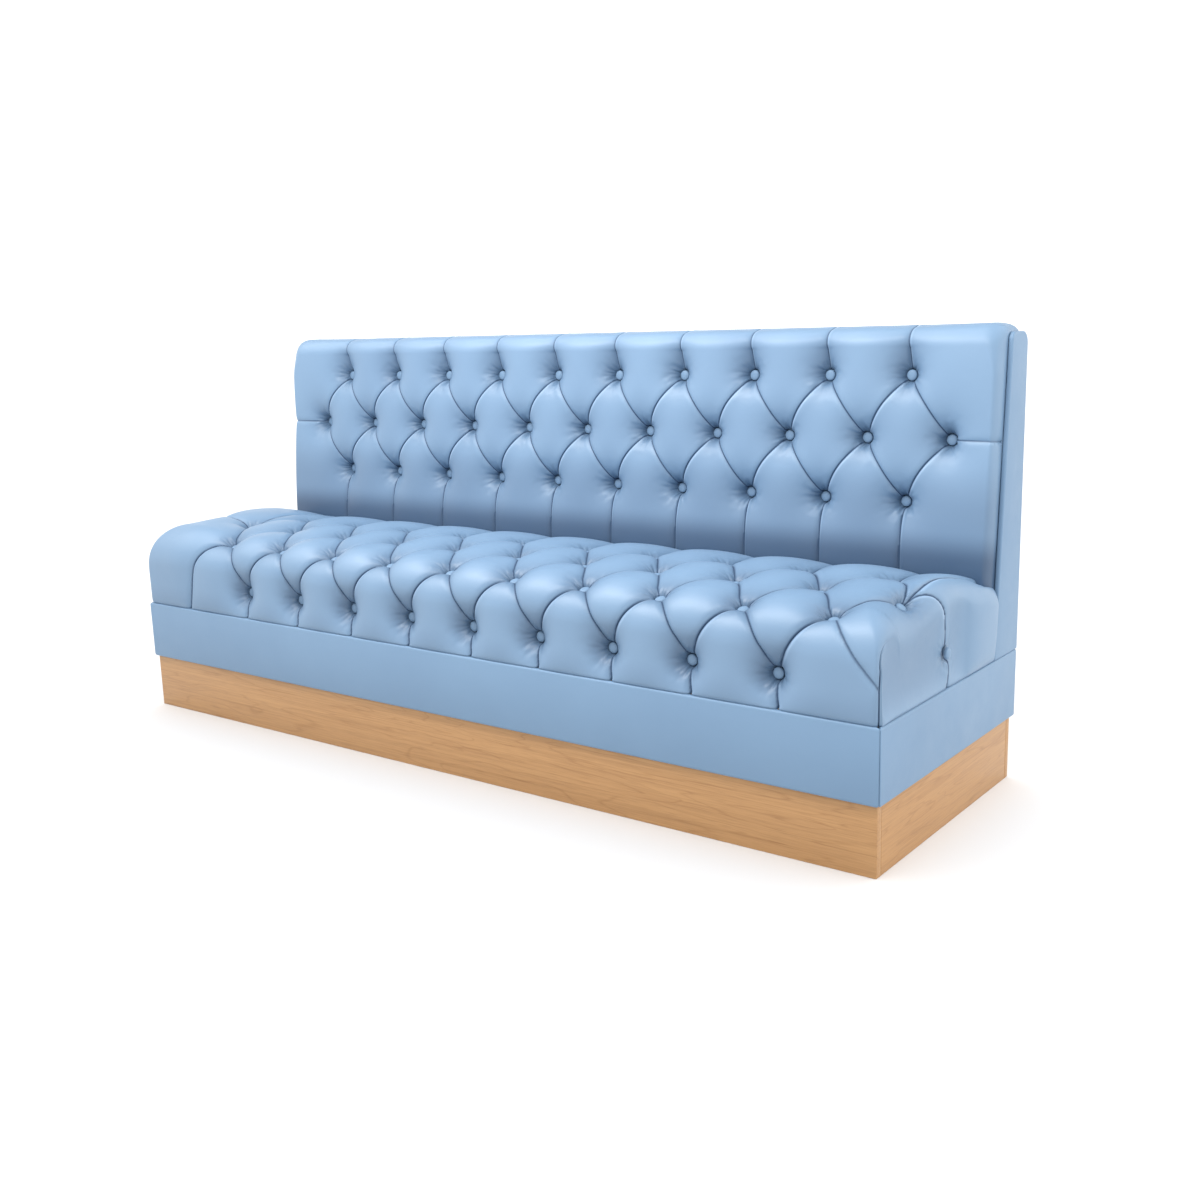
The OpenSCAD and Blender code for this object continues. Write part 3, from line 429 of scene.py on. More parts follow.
def tufted(tree, tone, shine, normal):
    """Gathers run out from each button, with painted shade in their valleys, along the pleats and in the
    pits, and a painted highlight on the lit lip beside each pleat.
    """
    near = attribute(tree, "gather_near")
    beside = add_node(tree, "ShaderNodeSeparateXYZ", Vector=attribute(tree, "pleat", "Vector"))
    away, side, sharp = beside.outputs
    crease = times(falling(away, 0.0, crease_width), sharp)
    # A painted highlight on the lip beside each pleat, on the side that faces the light
    lip = times(falling(away, lip_line, lip_from), falling(away, lip_line, lip_to))
    lip = times(lip, times(falling(side, 0.3, 0.0), sharp))
    fans = noise(attribute(tree, "gather", "Vector"), Scale=3.0, Detail=0.0)
    normal = bumped(times(fans, near), 0.6, 0.010, Normal=normal)
    ridge = combine("SUBTRACT", times(lip, 0.5), crease)
    normal = bumped(ridge, 0.5, 0.002, Normal=normal)
    # Painted shade in the valleys of the gathers, along the creases of the pleats, and in the pits and at
    # the feet
    shade = times(times(falling(fans, 0.36, 0.50), near), 0.22)
    for depth, share in ((crease, 0.92), (attribute(tree, "painted_shade_mark"), 0.45)):
        shade = combine("MAXIMUM", shade, times(depth, share))
    # The painted highlight goes on the lips, then the painted shade over it
    tone = blended(times(lip, 0.40), tone, vinyl_painted_highlight)
    tone = blended(shade, tone, vinyl_painted_shade)
    return tone, combine("MAXIMUM", shine, times(crease, 0.9)), normal


def smooth(t):
    t = np.clip(t, 0, 1)
    return t * t * (3 - 2 * t)


def seam_y(z):
    return half_depth - back_foot_depth + (z - base_top) * math.tan(back_lean)


def behind_seam(distance, z):
    return seam_y(z) + distance / math.cos(back_lean)


def seat_rear_y(z):
    return behind_seam(-back_swell, z) - soft_gap


seat_sheet = seat_roll_end + seat_rear_y(seat_crease_z) - seat_axis_y


def seat_profile(v):
    """Place y, z and outward y, z of the sheet, at lengths v up from the base."""
    a = np.clip((v - seat_rise) / seat_roll_radius, 0, math.pi / 2)
    t = np.clip((v - seat_roll_end) / (seat_sheet - seat_roll_end), 0, 1)
    y = seat_axis_y - seat_roll_radius * np.cos(a) + np.maximum(0, v - seat_roll_end)
    z = np.minimum(v, seat_rise) + pad_foot + seat_roll_radius * np.sin(a)
    z = z + seat_crown * np.sin(math.pi * t) - seat_fall * t ** 3
    return y, z, -np.cos(a), np.sin(a)


def seat_edge(v):
    run = (v - seat_rise) / seat_edge_run
    return (seat_corner_radius + (seat_end_radius - seat_corner_radius) * smooth(run)
            + (seat_rear_end_radius - seat_end_radius) * smooth(run - 1))


def even(*stops_and_counts):
    """Values that run evenly from stop to stop: stop, count, stop, count, stop."""
    values = [np.linspace(a, b, n, endpoint=False) for a, n, b in
              zip(stops_and_counts[:-2:2], stops_and_counts[1::2], stops_and_counts[2::2])]
    return np.concatenate(values + [[stops_and_counts[-1]]])


def sheet_length(half, reach, inset):
    return half - reach + (reach + inset) / 2 * math.pi / 2


def drawn_sheet(u, profile, half, reach, inset):
    """The sheet without its tufts. Its ends turn back over a length reach, by inset."""
    y, z, ny, nz = (a[:, None] for a in profile)
    reach, inset = reach[:, None], inset[:, None]
    turn = np.clip((np.abs(u) - half + reach) / ((reach + inset) / 2), 0, math.pi / 2)
    x = np.sign(u) * np.where(turn > 0, half - reach + reach * np.sin(turn), np.abs(u))
    back = inset * (1 - np.cos(turn))
    size = np.hypot(inset * np.sin(turn), reach * np.cos(turn))
    side, face = inset * np.sin(turn) / size, reach * np.cos(turn) / size
    return (np.stack([x, y - back * ny, z - back * nz], 2),
            np.stack([np.sign(u) * side, ny * face, nz * face], 2))


class Tufting:
    """A sheet of vinyl as a grid of places, with pleats along lines and pits at the buttons.

    Row n of buttons lies on row button_rows[n] of the grid, at the depth pits[n]. A button's
    place in its row is counted in spaces, and column gives the grid's column for it."""
    beside_pleat = 6
    round_button = 8

    def __init__(self, base, outward, button_rows, column, pits, places):
        self.base = base
        self.outward = outward
        self.button_rows = button_rows
        self.column = column
        self.pits = pits
        self.places = places
        self.rows, self.columns = base.shape[:2]
        self.held = np.zeros((self.rows, self.columns), bool)
        self.slanted = self.held[1:, 1:].copy()
        self.depth = 0.0 * self.held
        self.pleats = []
        self.buttons = []

    def spot(self, n, p):
        return self.button_rows[n], round(self.column(p))

    def line(self, stops):
        """Grid places along a smooth curve through the stops. Each is moved onto the curve."""
        stops = np.array(stops, float)
        chord = np.concatenate([[0], np.cumsum(np.linalg.norm(np.diff(stops, axis=0), axis=1))])
        slopes = np.gradient(stops, chord, axis=0)
        curve = []
        for i, span in enumerate(np.diff(chord)):
            t = np.linspace(0, 1, int(span * 6) + 2)[:, None]
            turn = slopes[i] * span * (t ** 3 - 2 * t ** 2 + t)
            turn_end = slopes[i + 1] * span * (t ** 3 - t ** 2)
            curve.append(stops[i] * (2 * t ** 3 - 3 * t ** 2 + 1) + turn
                         + stops[i + 1] * (3 * t ** 2 - 2 * t ** 3) + turn_end)
        curve = np.concatenate(curve)
        path = []
        for r, c in np.rint(curve).astype(int):
            if path and (r, c) == path[-1]:
                continue
            if len(path) > 1 and max(abs(r - path[-2][0]), abs(c - path[-2][1])) == 1:
                path.pop()
            path.append((r, c))
        moves = []
        for r, c in path:
            nearest = curve[np.argmin((curve[:, 0] - r) ** 2 + (curve[:, 1] - c) ** 2)]
            up = self.base[min(r + 1, self.rows - 1), c] - self.base[max(r - 1, 0), c]
            across = self.base[r, min(c + 1, self.columns - 1)] - self.base[r, max(c - 1, 0)]
            at_border = r in (0, self.rows - 1) or c in (0, self.columns - 1)
            moves.append(0 if at_border else ((nearest[0] - r) * up + (nearest[1] - c) * across) / 2)
        for place, move in zip(path, moves):
            self.base[place] += move
        for (r0, c0), (r1, c1) in zip(path[:-1], path[1:]):
            if r0 != r1 and c0 != c1:
                self.slanted[min(r0, r1), min(c0, c1)] = (r1 - r0) * (c1 - c0) < 0
        return path

    def pleat(self, stops, depth_along, sharp=(1, 1)):
        """Folds the sheet along a line. depth_along gives its depths from the way along it."""
        path = self.line(stops)
        places = np.array([self.base[p] for p in path])
        way = np.concatenate([[0], np.cumsum(np.linalg.norm(np.diff(places, axis=0), axis=1))])
        if depth_along:
            for place, depth in zip(path, depth_along(way)):
                self.held[place] = True
                self.depth[place] = max(self.depth[place], depth)
        self.pleats.append((path, sharp[0] + (sharp[1] - sharp[0]) * way / way[-1]))

    def pleats_up(self, n, p, fold):
        """Pleats from a button to its two neighbours in the next row."""
        for step in (-0.5, 0.5):
            if (n + 1, p + step) in self.places:
                halfway = ((self.button_rows[n] + self.button_rows[n + 1]) / 2,
                           self.column(p + step / 2) - math.copysign(pleat_bow, step))
                self.pleat([self.spot(n, p), halfway, self.spot(n + 1, p + step)],
                           between_buttons(self.pits[n], self.pits[n + 1], fold))

    def around(self, place, rows, columns):
        return (slice(max(0, place[0] - rows), place[0] + rows + 1),
                slice(max(0, place[1] - columns), place[1] + columns + 1))

    def from_button(self, place):
        window = self.around(place, self.round_button, self.round_button)
        return window, np.linalg.norm(self.base[window] - self.base[place], axis=2)

    def button(self, place, depth):
        self.buttons.append(place)
        window, away = self.from_button(place)
        under = away <= button_d / 2 + button_margin
        self.held[window] |= under
        self.depth[window][under] = depth

    def draw_in(self):
        """Draws in the buttons of the rows, and holds the sheet all round its edge."""
        for n, p in self.places:
            self.button(self.spot(n, p), self.pits[n])
        self.held[[0, -1]] = True
        self.held[:, [0, -1]] = True

    def button_seats(self):
        """Where each button of the rows sits, and the way it faces."""
        return [(self.base[self.spot(n, p)] - self.pits[n] * self.outward[self.spot(n, p)],
                 self.outward[self.spot(n, p)], 0) for n, p in self.places]

    def settle(self, crown, reach, rounds=220, eagerness=1.88, least=0.3):
        """Lets the sheet find its depth between what holds it and the foam that lifts it."""
        across = np.maximum(np.linalg.norm(np.diff(self.base, axis=1), axis=2), least)
        along = np.maximum(np.linalg.norm(np.diff(self.base, axis=0), axis=2), least)
        width, height = np.zeros_like(self.depth), np.zeros_like(self.depth)
        width[:, :-1] += across / 2
        width[:, 1:] += across / 2
        height[:-1] += along / 2
        height[1:] += along / 2
        pull_x = np.zeros((self.rows, self.columns + 1))
        pull_x[:, 1:-1] = (height[:, :-1] + height[:, 1:]) / 2 / across
        pull_y = np.zeros((self.rows + 1, self.columns))
        pull_y[1:-1] = (width[:-1] + width[1:]) / 2 / along
        spring = width * height / reach ** 2
        total = pull_x[:, :-1] + pull_x[:, 1:] + pull_y[:-1] + pull_y[1:] + spring
        odd = np.add.outer(np.arange(self.rows), np.arange(self.columns)) % 2 == 1
        depth = np.where(self.held, self.depth, crown)
        framed = np.zeros((self.rows + 2, self.columns + 2))
        for _ in range(rounds):
            for turn in (odd, ~odd):
                framed[1:-1, 1:-1] = depth
                level = (pull_x[:, :-1] * framed[1:-1, :-2] + pull_x[:, 1:] * framed[1:-1, 2:]
                         + pull_y[:-1] * framed[:-2, 1:-1] + pull_y[1:] * framed[2:, 1:-1]
                         + spring * crown) / total
                free = turn & ~self.held
                depth[free] += (eagerness * (level - depth))[free]
        self.depth = depth

    def beside(self):
        """For each step along the pleats, the places round it and how they lie off it."""
        for path, sharps in self.pleats:
            for start, end, sharp in zip(path[:-1], path[1:], sharps):
                window = self.around(start, self.beside_pleat, self.beside_pleat)
                step = self.base[end] - self.base[start]
                d = self.base[window] - self.base[start]
                off = d - np.clip(d @ step / (step @ step), 0, 1)[..., None] * step
                yield window, start, step, off, np.linalg.norm(off, axis=2), sharp

    def creases(self, width, fall=1.3):
        """How near each place is to the bottom of a pleat, from 0 to 1."""
        near = np.zeros_like(self.depth)
        for window, start, step, off, away, sharp in self.beside():
            near[window] = np.maximum(near[window], sharp * np.exp(-(away / width) ** fall))
        return near

    def pleat_marks(self):
        """For the finish: how far the nearest pleat or button rim is, which side the lip with its painted
        highlight is on, and how sharp its painted shade and highlight are.
        """
        marks = np.zeros(self.depth.shape + (3,))
        marks[..., 0] = pleat_reach

        def mark(window, away, side, sharp):
            new = np.stack([away, side, np.full_like(away, sharp)], 2)
            marks[window] = np.where((away < marks[window][..., 0])[..., None], new, marks[window])

        for window, start, step, off, away, sharp in self.beside():
            to_lip = np.cross(step, self.outward[start])
            to_lip *= np.sign(to_lip[0]) / np.linalg.norm(to_lip)
            # The painted highlight goes on the right-hand lip, most where that lip lies lower down or to the
            # front, so it faces the light from the upper left
            lip = np.clip(0.6 - 1.5 * (to_lip[1] + to_lip[2]), 0, 1)
            mark(window, away, lip * np.sign(np.round(off @ to_lip, 2)), sharp)
        # Each button's rim is marked like a pleat, for a painted dark line of shade round the button
        for place in self.buttons:
            window, away = self.from_button(place)
            rim = np.abs(away - button_d / 2 - rim_gap)
            mark(window, rim, 0 * rim, 0.4 if abs(self.outward[place][0]) > 0.9 else 0.85)
        return marks

    def gathers(self, seed, reach):
        """Small wrinkles round the buttons, and for the finish, the way round the nearest one."""
        random = np.random.default_rng(seed)
        waves = np.zeros_like(self.depth)
        nearest = np.full_like(self.depth, 1e3)
        turns = np.zeros(self.depth.shape + (3,))
        for number, (r, c) in enumerate(self.buttons):
            window = self.around((r, c), 20, 28)
            d = self.base[window] - self.base[r, c]
            side = self.base[r, min(c + 4, self.columns - 1)] - self.base[r, max(c - 4, 0)]
            side = side / np.linalg.norm(side)
            x, y = d @ side, d @ np.cross(self.outward[r, c], side)
            away, turn = np.hypot(x, y), np.arctan2(y, x)
            ripple = sum(random.uniform(0.5, 1) * np.cos(k * turn + random.uniform(0, 2 * math.pi))
                         for k in (5, 7, 9, 12))
            waves[window] += np.clip((away - 9) / 10, 0, 1) * np.exp(-(away / reach) ** 1.6) * ripple / 2
            closer = away < nearest[window]
            nearest[window] = np.where(closer, away, nearest[window])
            spin = np.stack([np.cos(turn), np.sin(turn), 0.02 * away + 3.7 * number], 2)
            turns[window] = np.where(closer[..., None], spin, turns[window])
        near = np.clip((nearest - 7) / 8, 0, 1) * np.exp(-(nearest / (1.35 * reach)) ** 2)
        return waves, turns, near

    def folded(self, valley, valley_width, seed):
        """The depth with its folds, the soft valleys beside them and the gathers."""
        waves, self.turns, self.near_button = self.gathers(seed, gather_reach)
        return (self.depth + fold_depth * self.creases(fold_width) + valley * self.creases(valley_width, 2)
                + waves)

    def triangles(self):
        index = np.arange(self.rows * self.columns).reshape(self.rows, self.columns)
        a, b, c, d = index[:-1, :-1], index[:-1, 1:], index[1:, 1:], index[1:, :-1]
        plain = np.stack([np.stack([a, b, c], -1), np.stack([a, c, d], -1)], 2)
        slanted = np.stack([np.stack([a, b, d], -1), np.stack([b, c, d], -1)], 2)
        return np.where(self.slanted[..., None, None], slanted, plain).reshape(-1, 3)


def between_buttons(first, last, middle):
    """Depths of a pleat that hangs from two buttons and rises in an arch between them."""
    def depth_along(way):
        share = way / way[-1]
        chord = first + (last - first) * share
        return chord + (middle - chord) * np.clip(np.sin(math.pi * share), 0, 1) ** 0.75
    return depth_along


def to_edge(first, last, reach):
    """Depths of a pleat that leaves a button and comes up towards an edge of the cover."""
    return lambda way: last + (first - last) * np.exp(-way / reach)


def closed_piece(name, sheet, points, extra_points, closing, painted_shade_mark, line_share=1.0):
    """A mesh of the sheet and of the faces that close it behind, with marks for the finish, its painted
    shade among them.
    """
    marks = {"pleat": sheet.pleat_marks() * (line_share, 1, 1), "painted_shade_mark": painted_shade_mark,
             "gather": sheet.turns, "gather_near": sheet.near_button}
    triangles = sheet.triangles()
    faces = triangles.tolist()
    for part in closing:
        faces += part.tolist() if part.ndim > 1 else [part.tolist()]
    mesh = bpy.data.meshes.new(name)
    mesh.from_pydata(np.concatenate([points.reshape(-1, 3), extra_points]) * mm, [], faces)
    mesh.validate()
    mesh.polygons.foreach_set("use_smooth", np.arange(len(mesh.polygons)) < len(triangles))
    for label, values in marks.items():
        size = values.size // sheet.depth.size
        kind, field = ("FLOAT_VECTOR", "vector") if size == 3 else ("FLOAT", "value")
        values = np.concatenate([values.ravel(), np.zeros(len(extra_points) * size)])
        mesh.attributes.new(label, kind, "POINT").data.foreach_set(field, values.astype(np.float32))
    piece = bpy.data.objects.new(name, mesh)
    bpy.context.scene.collection.objects.link(piece)
    only(piece)
    bpy.ops.object.mode_set(mode="EDIT")
    bpy.ops.mesh.select_all(action="SELECT")
    bpy.ops.mesh.remove_doubles(threshold=1e-6)
    bpy.ops.mesh.normals_make_consistent(inside=False)
    bpy.ops.object.mode_set(mode="OBJECT")
    return piece


# Rows of the seat's grid, and where its four rows of buttons lie
gap_rows, gap_columns = 32, 64
foot_rows, seat_rear_rows = 14, 44
seat_stops = [57.0, seat_rise + math.radians(70) * seat_roll_radius, seat_roll_end + 106,
              seat_roll_end + 231]
seat_v = even(0, foot_rows, seat_stops[0], gap_rows, seat_stops[1], gap_rows, seat_stops[2], gap_rows,
              seat_stops[3], seat_rear_rows, seat_sheet)
seat_row = [foot_rows + n * gap_rows for n in range(4)]
seat_pits = [seat_pit + (seat_rear_pit - seat_pit) * n / 3 for n in range(4)]
edge = seat_edge(seat_v)
end_u = sheet_length(half_width, edge, edge)
# The corner seam lies halfway round the upright corner and leans to the end higher up
seam_low, seam_high = math.radians(45), math.radians(80)
seam_turn = seam_low + (seam_high - seam_low) * smooth((seat_v - 50) / 130)
seam_u = half_width - edge + edge * seam_turn
first_p, last_p = -5.5, 5.0
side_columns, roll_columns, left_columns, right_columns = 26, 10, 28, 14
even_p = first_p + np.arange(int((last_p - first_p) * gap_columns) + 1) / gap_columns
even_u = seat_shift + even_p * seat_spacing
seat_u = np.array([np.concatenate([
    np.linspace(-end, -seam, roll_columns, endpoint=False),
    np.linspace(-seam, even_u[0], left_columns, endpoint=False),
    even_u,
    np.linspace(even_u[-1], seam, right_columns + 1)[1:],
    np.linspace(seam, end, roll_columns + 1)[1:]]) for end, seam in zip(end_u, seam_u)])
base, outward = drawn_sheet(seat_u, seat_profile(seat_v), half_width, edge, edge)
# Below its roll, each end hangs straight to the base as a flat face
foot_front = -150.0
foot_curve = 1.3
rim_y = base[:, 0, 1]
turn_row = int(np.argmax(rim_y > foot_front))
rise_share = np.clip(np.arange(len(seat_v)) / turn_row, 0, 1) ** foot_curve
foot_y = np.where(seat_v < seat_v[turn_row], rim_y[0] + (rim_y[turn_row] - rim_y[0]) * rise_share, rim_y)
past_turn = np.maximum(0, seat_v - seat_v[turn_row]) / (seat_sheet - seat_v[turn_row])
foot_y += past_turn * (seat_rear_y(pad_foot) - rim_y[-1])
down = np.linspace(0, 1, side_columns + 1)[1:, None]
for side in (-1, 1):
    rim = base[:, 0] if side < 0 else base[:, -1]
    foot = np.stack([rim[:, 0], foot_y, np.full(len(seat_v), pad_foot)], 1)
    face = rim[:, None] + (foot - rim)[:, None] * down
    face_out = np.zeros_like(face)
    face_out[..., 0] = side
    base = np.concatenate([face[:, ::side], base][::-side], 1)
    outward = np.concatenate([face_out, outward][::-side], 1)
rear_run = 90.0
gap_to_back = 0.5


def round_backrest(x):
    """How far the seat fills in behind, at both ends, round the rolled edges of the backrest."""
    turned = np.clip((np.abs(x) - pad_half + back_side_reach) / back_side_reach, 0, 1)
    return (back_edge_radius - gap_to_back) * (1 - np.sqrt(1 - turned ** 2))


def seat_at(p):
    """Column of the grid that is so many spaces from the middle button."""
    return side_columns + roll_columns + left_columns + (p - first_p) * gap_columns


base[..., 1] += round_backrest(base[..., 0]) * smooth((seat_v - seat_sheet + rear_run) / rear_run)[:, None]
seat_places = [(n, p + k) for n, (p, count) in enumerate(((-4, 9), (-4.5, 10), (-5, 11), (-4.5, 10)))
               for k in range(count)]
seat = Tufting(base, outward, seat_row, seat_at, seat_pits, seat_places)
last_row = seat.rows - 1
left_seam, right_seam = side_columns + roll_columns, seat.columns - 1 - side_columns - roll_columns
for n, p in seat_places:
    seat.pleats_up(n, p, seat_fold)
    if n == 0:
        seat.pleat([seat.spot(n, p), (0, seat_at(p) + 6)],
                   to_edge(seat_pits[n], foot_pleat_depth, foot_pleat_reach))
    if n == 3:
        seat.pleat([seat.spot(n, p), (last_row, seat_at(p))],
                   to_edge(seat_pits[n], rear_pleat_depth, rear_pleat_reach))
# Pleats that leave the outer buttons for the edges of the seat
seat.pleat([seat.spot(1, -4.5), (seat_row[0] + 12, seat_at(-4.97)), (0, seat_at(-5.12))],
           to_edge(seat_pits[1], 4, 40))
seat.pleat([seat.spot(1, 4.5), (31, seat_at(4.5) + 18), (22, seat_at(4.5) + 31), (15, right_seam)],
           to_edge(seat_pits[1], 2, 30), sharp=(1, 0.6))
for p, bend, end in ((5, -3, 2), (-5, 3, 0)):
    seat.pleat([seat.spot(2, p), (seat_row[3], seat_at(p) + bend), (last_row, seat_at(p) + end)],
               to_edge(seat_pits[2], 4, 34))
# A button in each end draws in a pleat over the roll, and one down to the base
seat_end_pit = 11.0
over_end_depth = 3.0
over_end_reach, end_button_reach = 26.0, 12.0
end_places = []


def over_end(way):
    """Depths of the pleat that runs over the roll to the button in an end."""
    return (over_end_depth + (seat_pits[2] - over_end_depth) * np.exp(-way / over_end_reach)
            + (seat_end_pit - over_end_depth) * np.exp(-(way[-1] - way) / end_button_reach))


for side, over in ((-1, ((84, -24), (91, -4), (96, 2))), (1, ((87, -23), (94, -19), (98, -12), (99, -3)))):
    rim = 0 if side < 0 else seat.columns - 1
    inner = rim - side * side_columns
    drop = (base[:, inner, 2] - seat_end_button[2]) / np.maximum(base[:, inner, 2] - pad_foot, mm)
    reach_y = base[:, inner, 1] + (foot_y - base[:, inner, 1]) * drop
    end_row = int(np.argmin(np.where(drop > 0, np.abs(reach_y - seat_end_button[1]), 1e3)))
    button_column = round(inner + side * drop[end_row] * side_columns)
    stops = [(seat_row[2], seat_at(5 * side))] + [(r, inner + side * c) for r, c in over]
    seat.pleat(stops + [(end_row, button_column)], over_end)
    seat.pleat([(end_row, button_column), (end_row + 3, rim - side * 8), (end_row + 1, rim)],
               to_edge(seat_end_pit, 1, end_button_reach), sharp=(1, 0.7))
    end_places.append((end_row, button_column))
# The corner seams run straight up and then bend back on to the ends
for side, column in ((-1, left_seam), (1, right_seam)):
    seat.pleat([(0, column), (22, column)], lambda way: 1.0 + 0 * way)
    seat.pleat([(22, column), (30, column + side * 2), (36, column + side * 7)], None, sharp=(1, 0))
seat.draw_in()
for place in end_places:
    seat.button(place, seat_end_pit)
# The foam lifts the sheet between its buttons, and at the ends it lies close
seat_lift, seat_rear_lift, end_fall = 18.0, 12.0, 14.0
pad_span, end_span = 58.0, 22.0
end_fall_start, end_fall_width, rear_lift_start = 150.0, 90.0, 60.0
crown = np.full((seat.rows, seat.columns), -seat_lift)
span = np.full((seat.rows, seat.columns), pad_span)
for ends in (slice(0, side_columns + 8), slice(-side_columns - 8, None)):
    crown[:, ends] = 0.0
    span[:, ends] = end_span
crown += end_fall * smooth((np.abs(seat.base[..., 0]) - half_width + end_fall_start) / end_fall_width)
crown[seat_v > seat_stops[3] + rear_lift_start] = -seat_rear_lift
seat.settle(crown, span)
# Painted shade: darker in the pits and along the foot
shade_from, seat_shade_span = 2.0, 26.0
foot_shade, foot_shade_height, foot_shade_span = 0.3, 60.0, 50.0
painted_shade_mark = np.maximum(smooth((seat.depth - shade_from) / seat_shade_span),
                    foot_shade * smooth((foot_shade_height - seat_v) / foot_shade_span)[:, None])
seat_valley, seat_valley_width = 3.4, 8.0
depth = seat.folded(seat_valley, seat_valley_width, seed=7)
# Tucked in where the cover meets the base and the backrest
base_tuck, base_tuck_reach = 3.0, 5.0
back_tuck, back_tuck_reach = 10.0, 10.0
above_base = np.clip(seat.base[..., 2] - pad_foot, 0, None)
between_ends = 1 - smooth((np.abs(seat.base[..., 0]) - half_width + 100) / 60)
depth += (base_tuck * np.exp(-above_base / base_tuck_reach)
          + between_ends * back_tuck * np.exp(-(seat_v[-1] - seat_v) / back_tuck_reach)[:, None])
points = seat.base - depth[..., None] * seat.outward
points[0, :, 2] = pad_foot
points[:, [0, -1], 2] = pad_foot
points[-1, :, 1] = seat_rear_y(points[-1, :, 2]) + round_backrest(points[-1, :, 0])
# Underneath, the cover turns in round the pocket that the foam fills
index = np.arange(seat.rows * seat.columns).reshape(seat.rows, seat.columns)
rear_foot = np.array([[side * (pad_half - back_side_reach), seat_rear_y(pad_foot), pad_foot]
                      for side in (1, -1)])
foot_ring = np.concatenate([index[::-1, 0], index[0, 1:], index[1:, -1], index.size + np.arange(2)])
core_low, core_high = (np.array(c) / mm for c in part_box("seat_foam"))
pocket = np.concatenate([points.reshape(-1, 3), rear_foot])[foot_ring]
pocket[:, :2] = np.clip(pocket[:, :2], core_low[:2] - soft_gap, core_high[:2] + soft_gap)
ceiling = pocket + [0, 0, core_high[2] + soft_gap - pad_foot]
ring = np.arange(len(foot_ring)) + index.size + 2
turned_in = np.stack([foot_ring, ring, np.roll(ring, -1), np.roll(foot_ring, -1)], 1)
walls = np.stack([ring, ring + len(ring), np.roll(ring, -1) + len(ring), np.roll(ring, -1)], 1)
rear_face = np.concatenate([index[-1, ::-1], index.size + np.array([1, 0])])
seat_cover = closed_piece("seat_cover_tufted", seat, points, np.concatenate([rear_foot, pocket, ceiling]),
                          [turned_in, walls, ring[::-1] + len(ring), rear_face], painted_shade_mark, seat_line_share)
vinyl_tufted = vinyl("vinyl_tufted", cover_gloss, tufted)
fit(seat_cover, vinyl_tufted, "seat_cover")


# Backrest foam. A thin sheet of foam between the tufted pad and its board.
foam_front = 32.0
foam_back = 42.0
sheet_ease = 2 * mm
low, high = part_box("back_foam")
back_foam = block("back_foam_sheet", low, high)
for vertex in back_foam.data.vertices:
    behind = foam_back if vertex.co.y > (low.y + high.y) / 2 else foam_front
    vertex.co.y = behind_seam(behind, vertex.co.z / mm) * mm
eased(back_foam, sheet_ease)
fit(back_foam, foam, "back_foam")


# Backrest cover. The same vinyl over a pad that leans back, with three rows of
# buttons, pleated straight down to the seat and up over the rounded top, and
# across to the ends from the middle row.
back_pit = 54.0
back_fold = 10.0
back_spacing = 186.0
back_roll_radius = 48.0
back_rear_radius = 40.0
back_rows_z = (588.0, 717.0, 846.0)
back_top_edge = 20.0
back_rear_edge = 12.0
back_corner_reach = 44.0
back_foot_pleat_depth, back_foot_pleat_reach = 10.0, 34.0
side_pleat_depth, side_pleat_reach = 3.0, 24.0
top_pleat_depth = 1.5
back_lift, top_fall, foot_fall, side_fall = 12.0, 13.0, 10.0, 4.0
back_shade_span = 48.0
back_valley, back_valley_width = 2.4, 7.0
rear_panel = 3.0
back_foot_y = behind_seam(-back_swell, pad_foot)
back_axis_z = overall_height - back_roll_radius
back_axis_y = behind_seam(-back_swell, back_axis_z) + back_roll_radius / math.cos(back_lean)
back_face = (back_axis_z + back_roll_radius * math.sin(back_lean) - pad_foot) / math.cos(back_lean)
back_roll_end = back_face + back_roll_radius * (math.pi / 2 - back_lean)
back_rear_y = half_depth - rear_panel - soft_gap
back_rear_axis_y = back_rear_y - back_rear_radius
back_rear_z = overall_height - back_rear_radius
back_flat_end = back_roll_end + back_rear_axis_y - back_axis_y
back_sheet = back_flat_end + back_rear_radius * math.pi / 2


def back_profile(v):
    front = np.minimum(v, back_face)
    a = back_lean + np.clip((v - back_face) / back_roll_radius, 0, math.pi / 2 - back_lean)
    b = np.clip((v - back_flat_end) / back_rear_radius, 0, math.pi / 2)
    on = [v <= back_face, v <= back_roll_end, v <= back_flat_end]
    y = np.select(on, [back_foot_y + front * math.sin(back_lean), back_axis_y - back_roll_radius * np.cos(a),
                       back_axis_y + v - back_roll_end], back_rear_axis_y + back_rear_radius * np.sin(b))
    z = np.select(on, [pad_foot + front * math.cos(back_lean), back_axis_z + back_roll_radius * np.sin(a),
                       0 * v + overall_height], back_rear_z + back_rear_radius * np.cos(b))
    ny = np.select(on, [-np.cos(a), -np.cos(a), 0 * v], np.sin(b))
    nz = np.select(on, [np.sin(a), np.sin(a), 0 * v + 1], np.cos(b))
    return y, z, ny, nz


def back_v_at(z):
    return (z + back_pit * math.sin(back_lean) - pad_foot) / math.cos(back_lean)


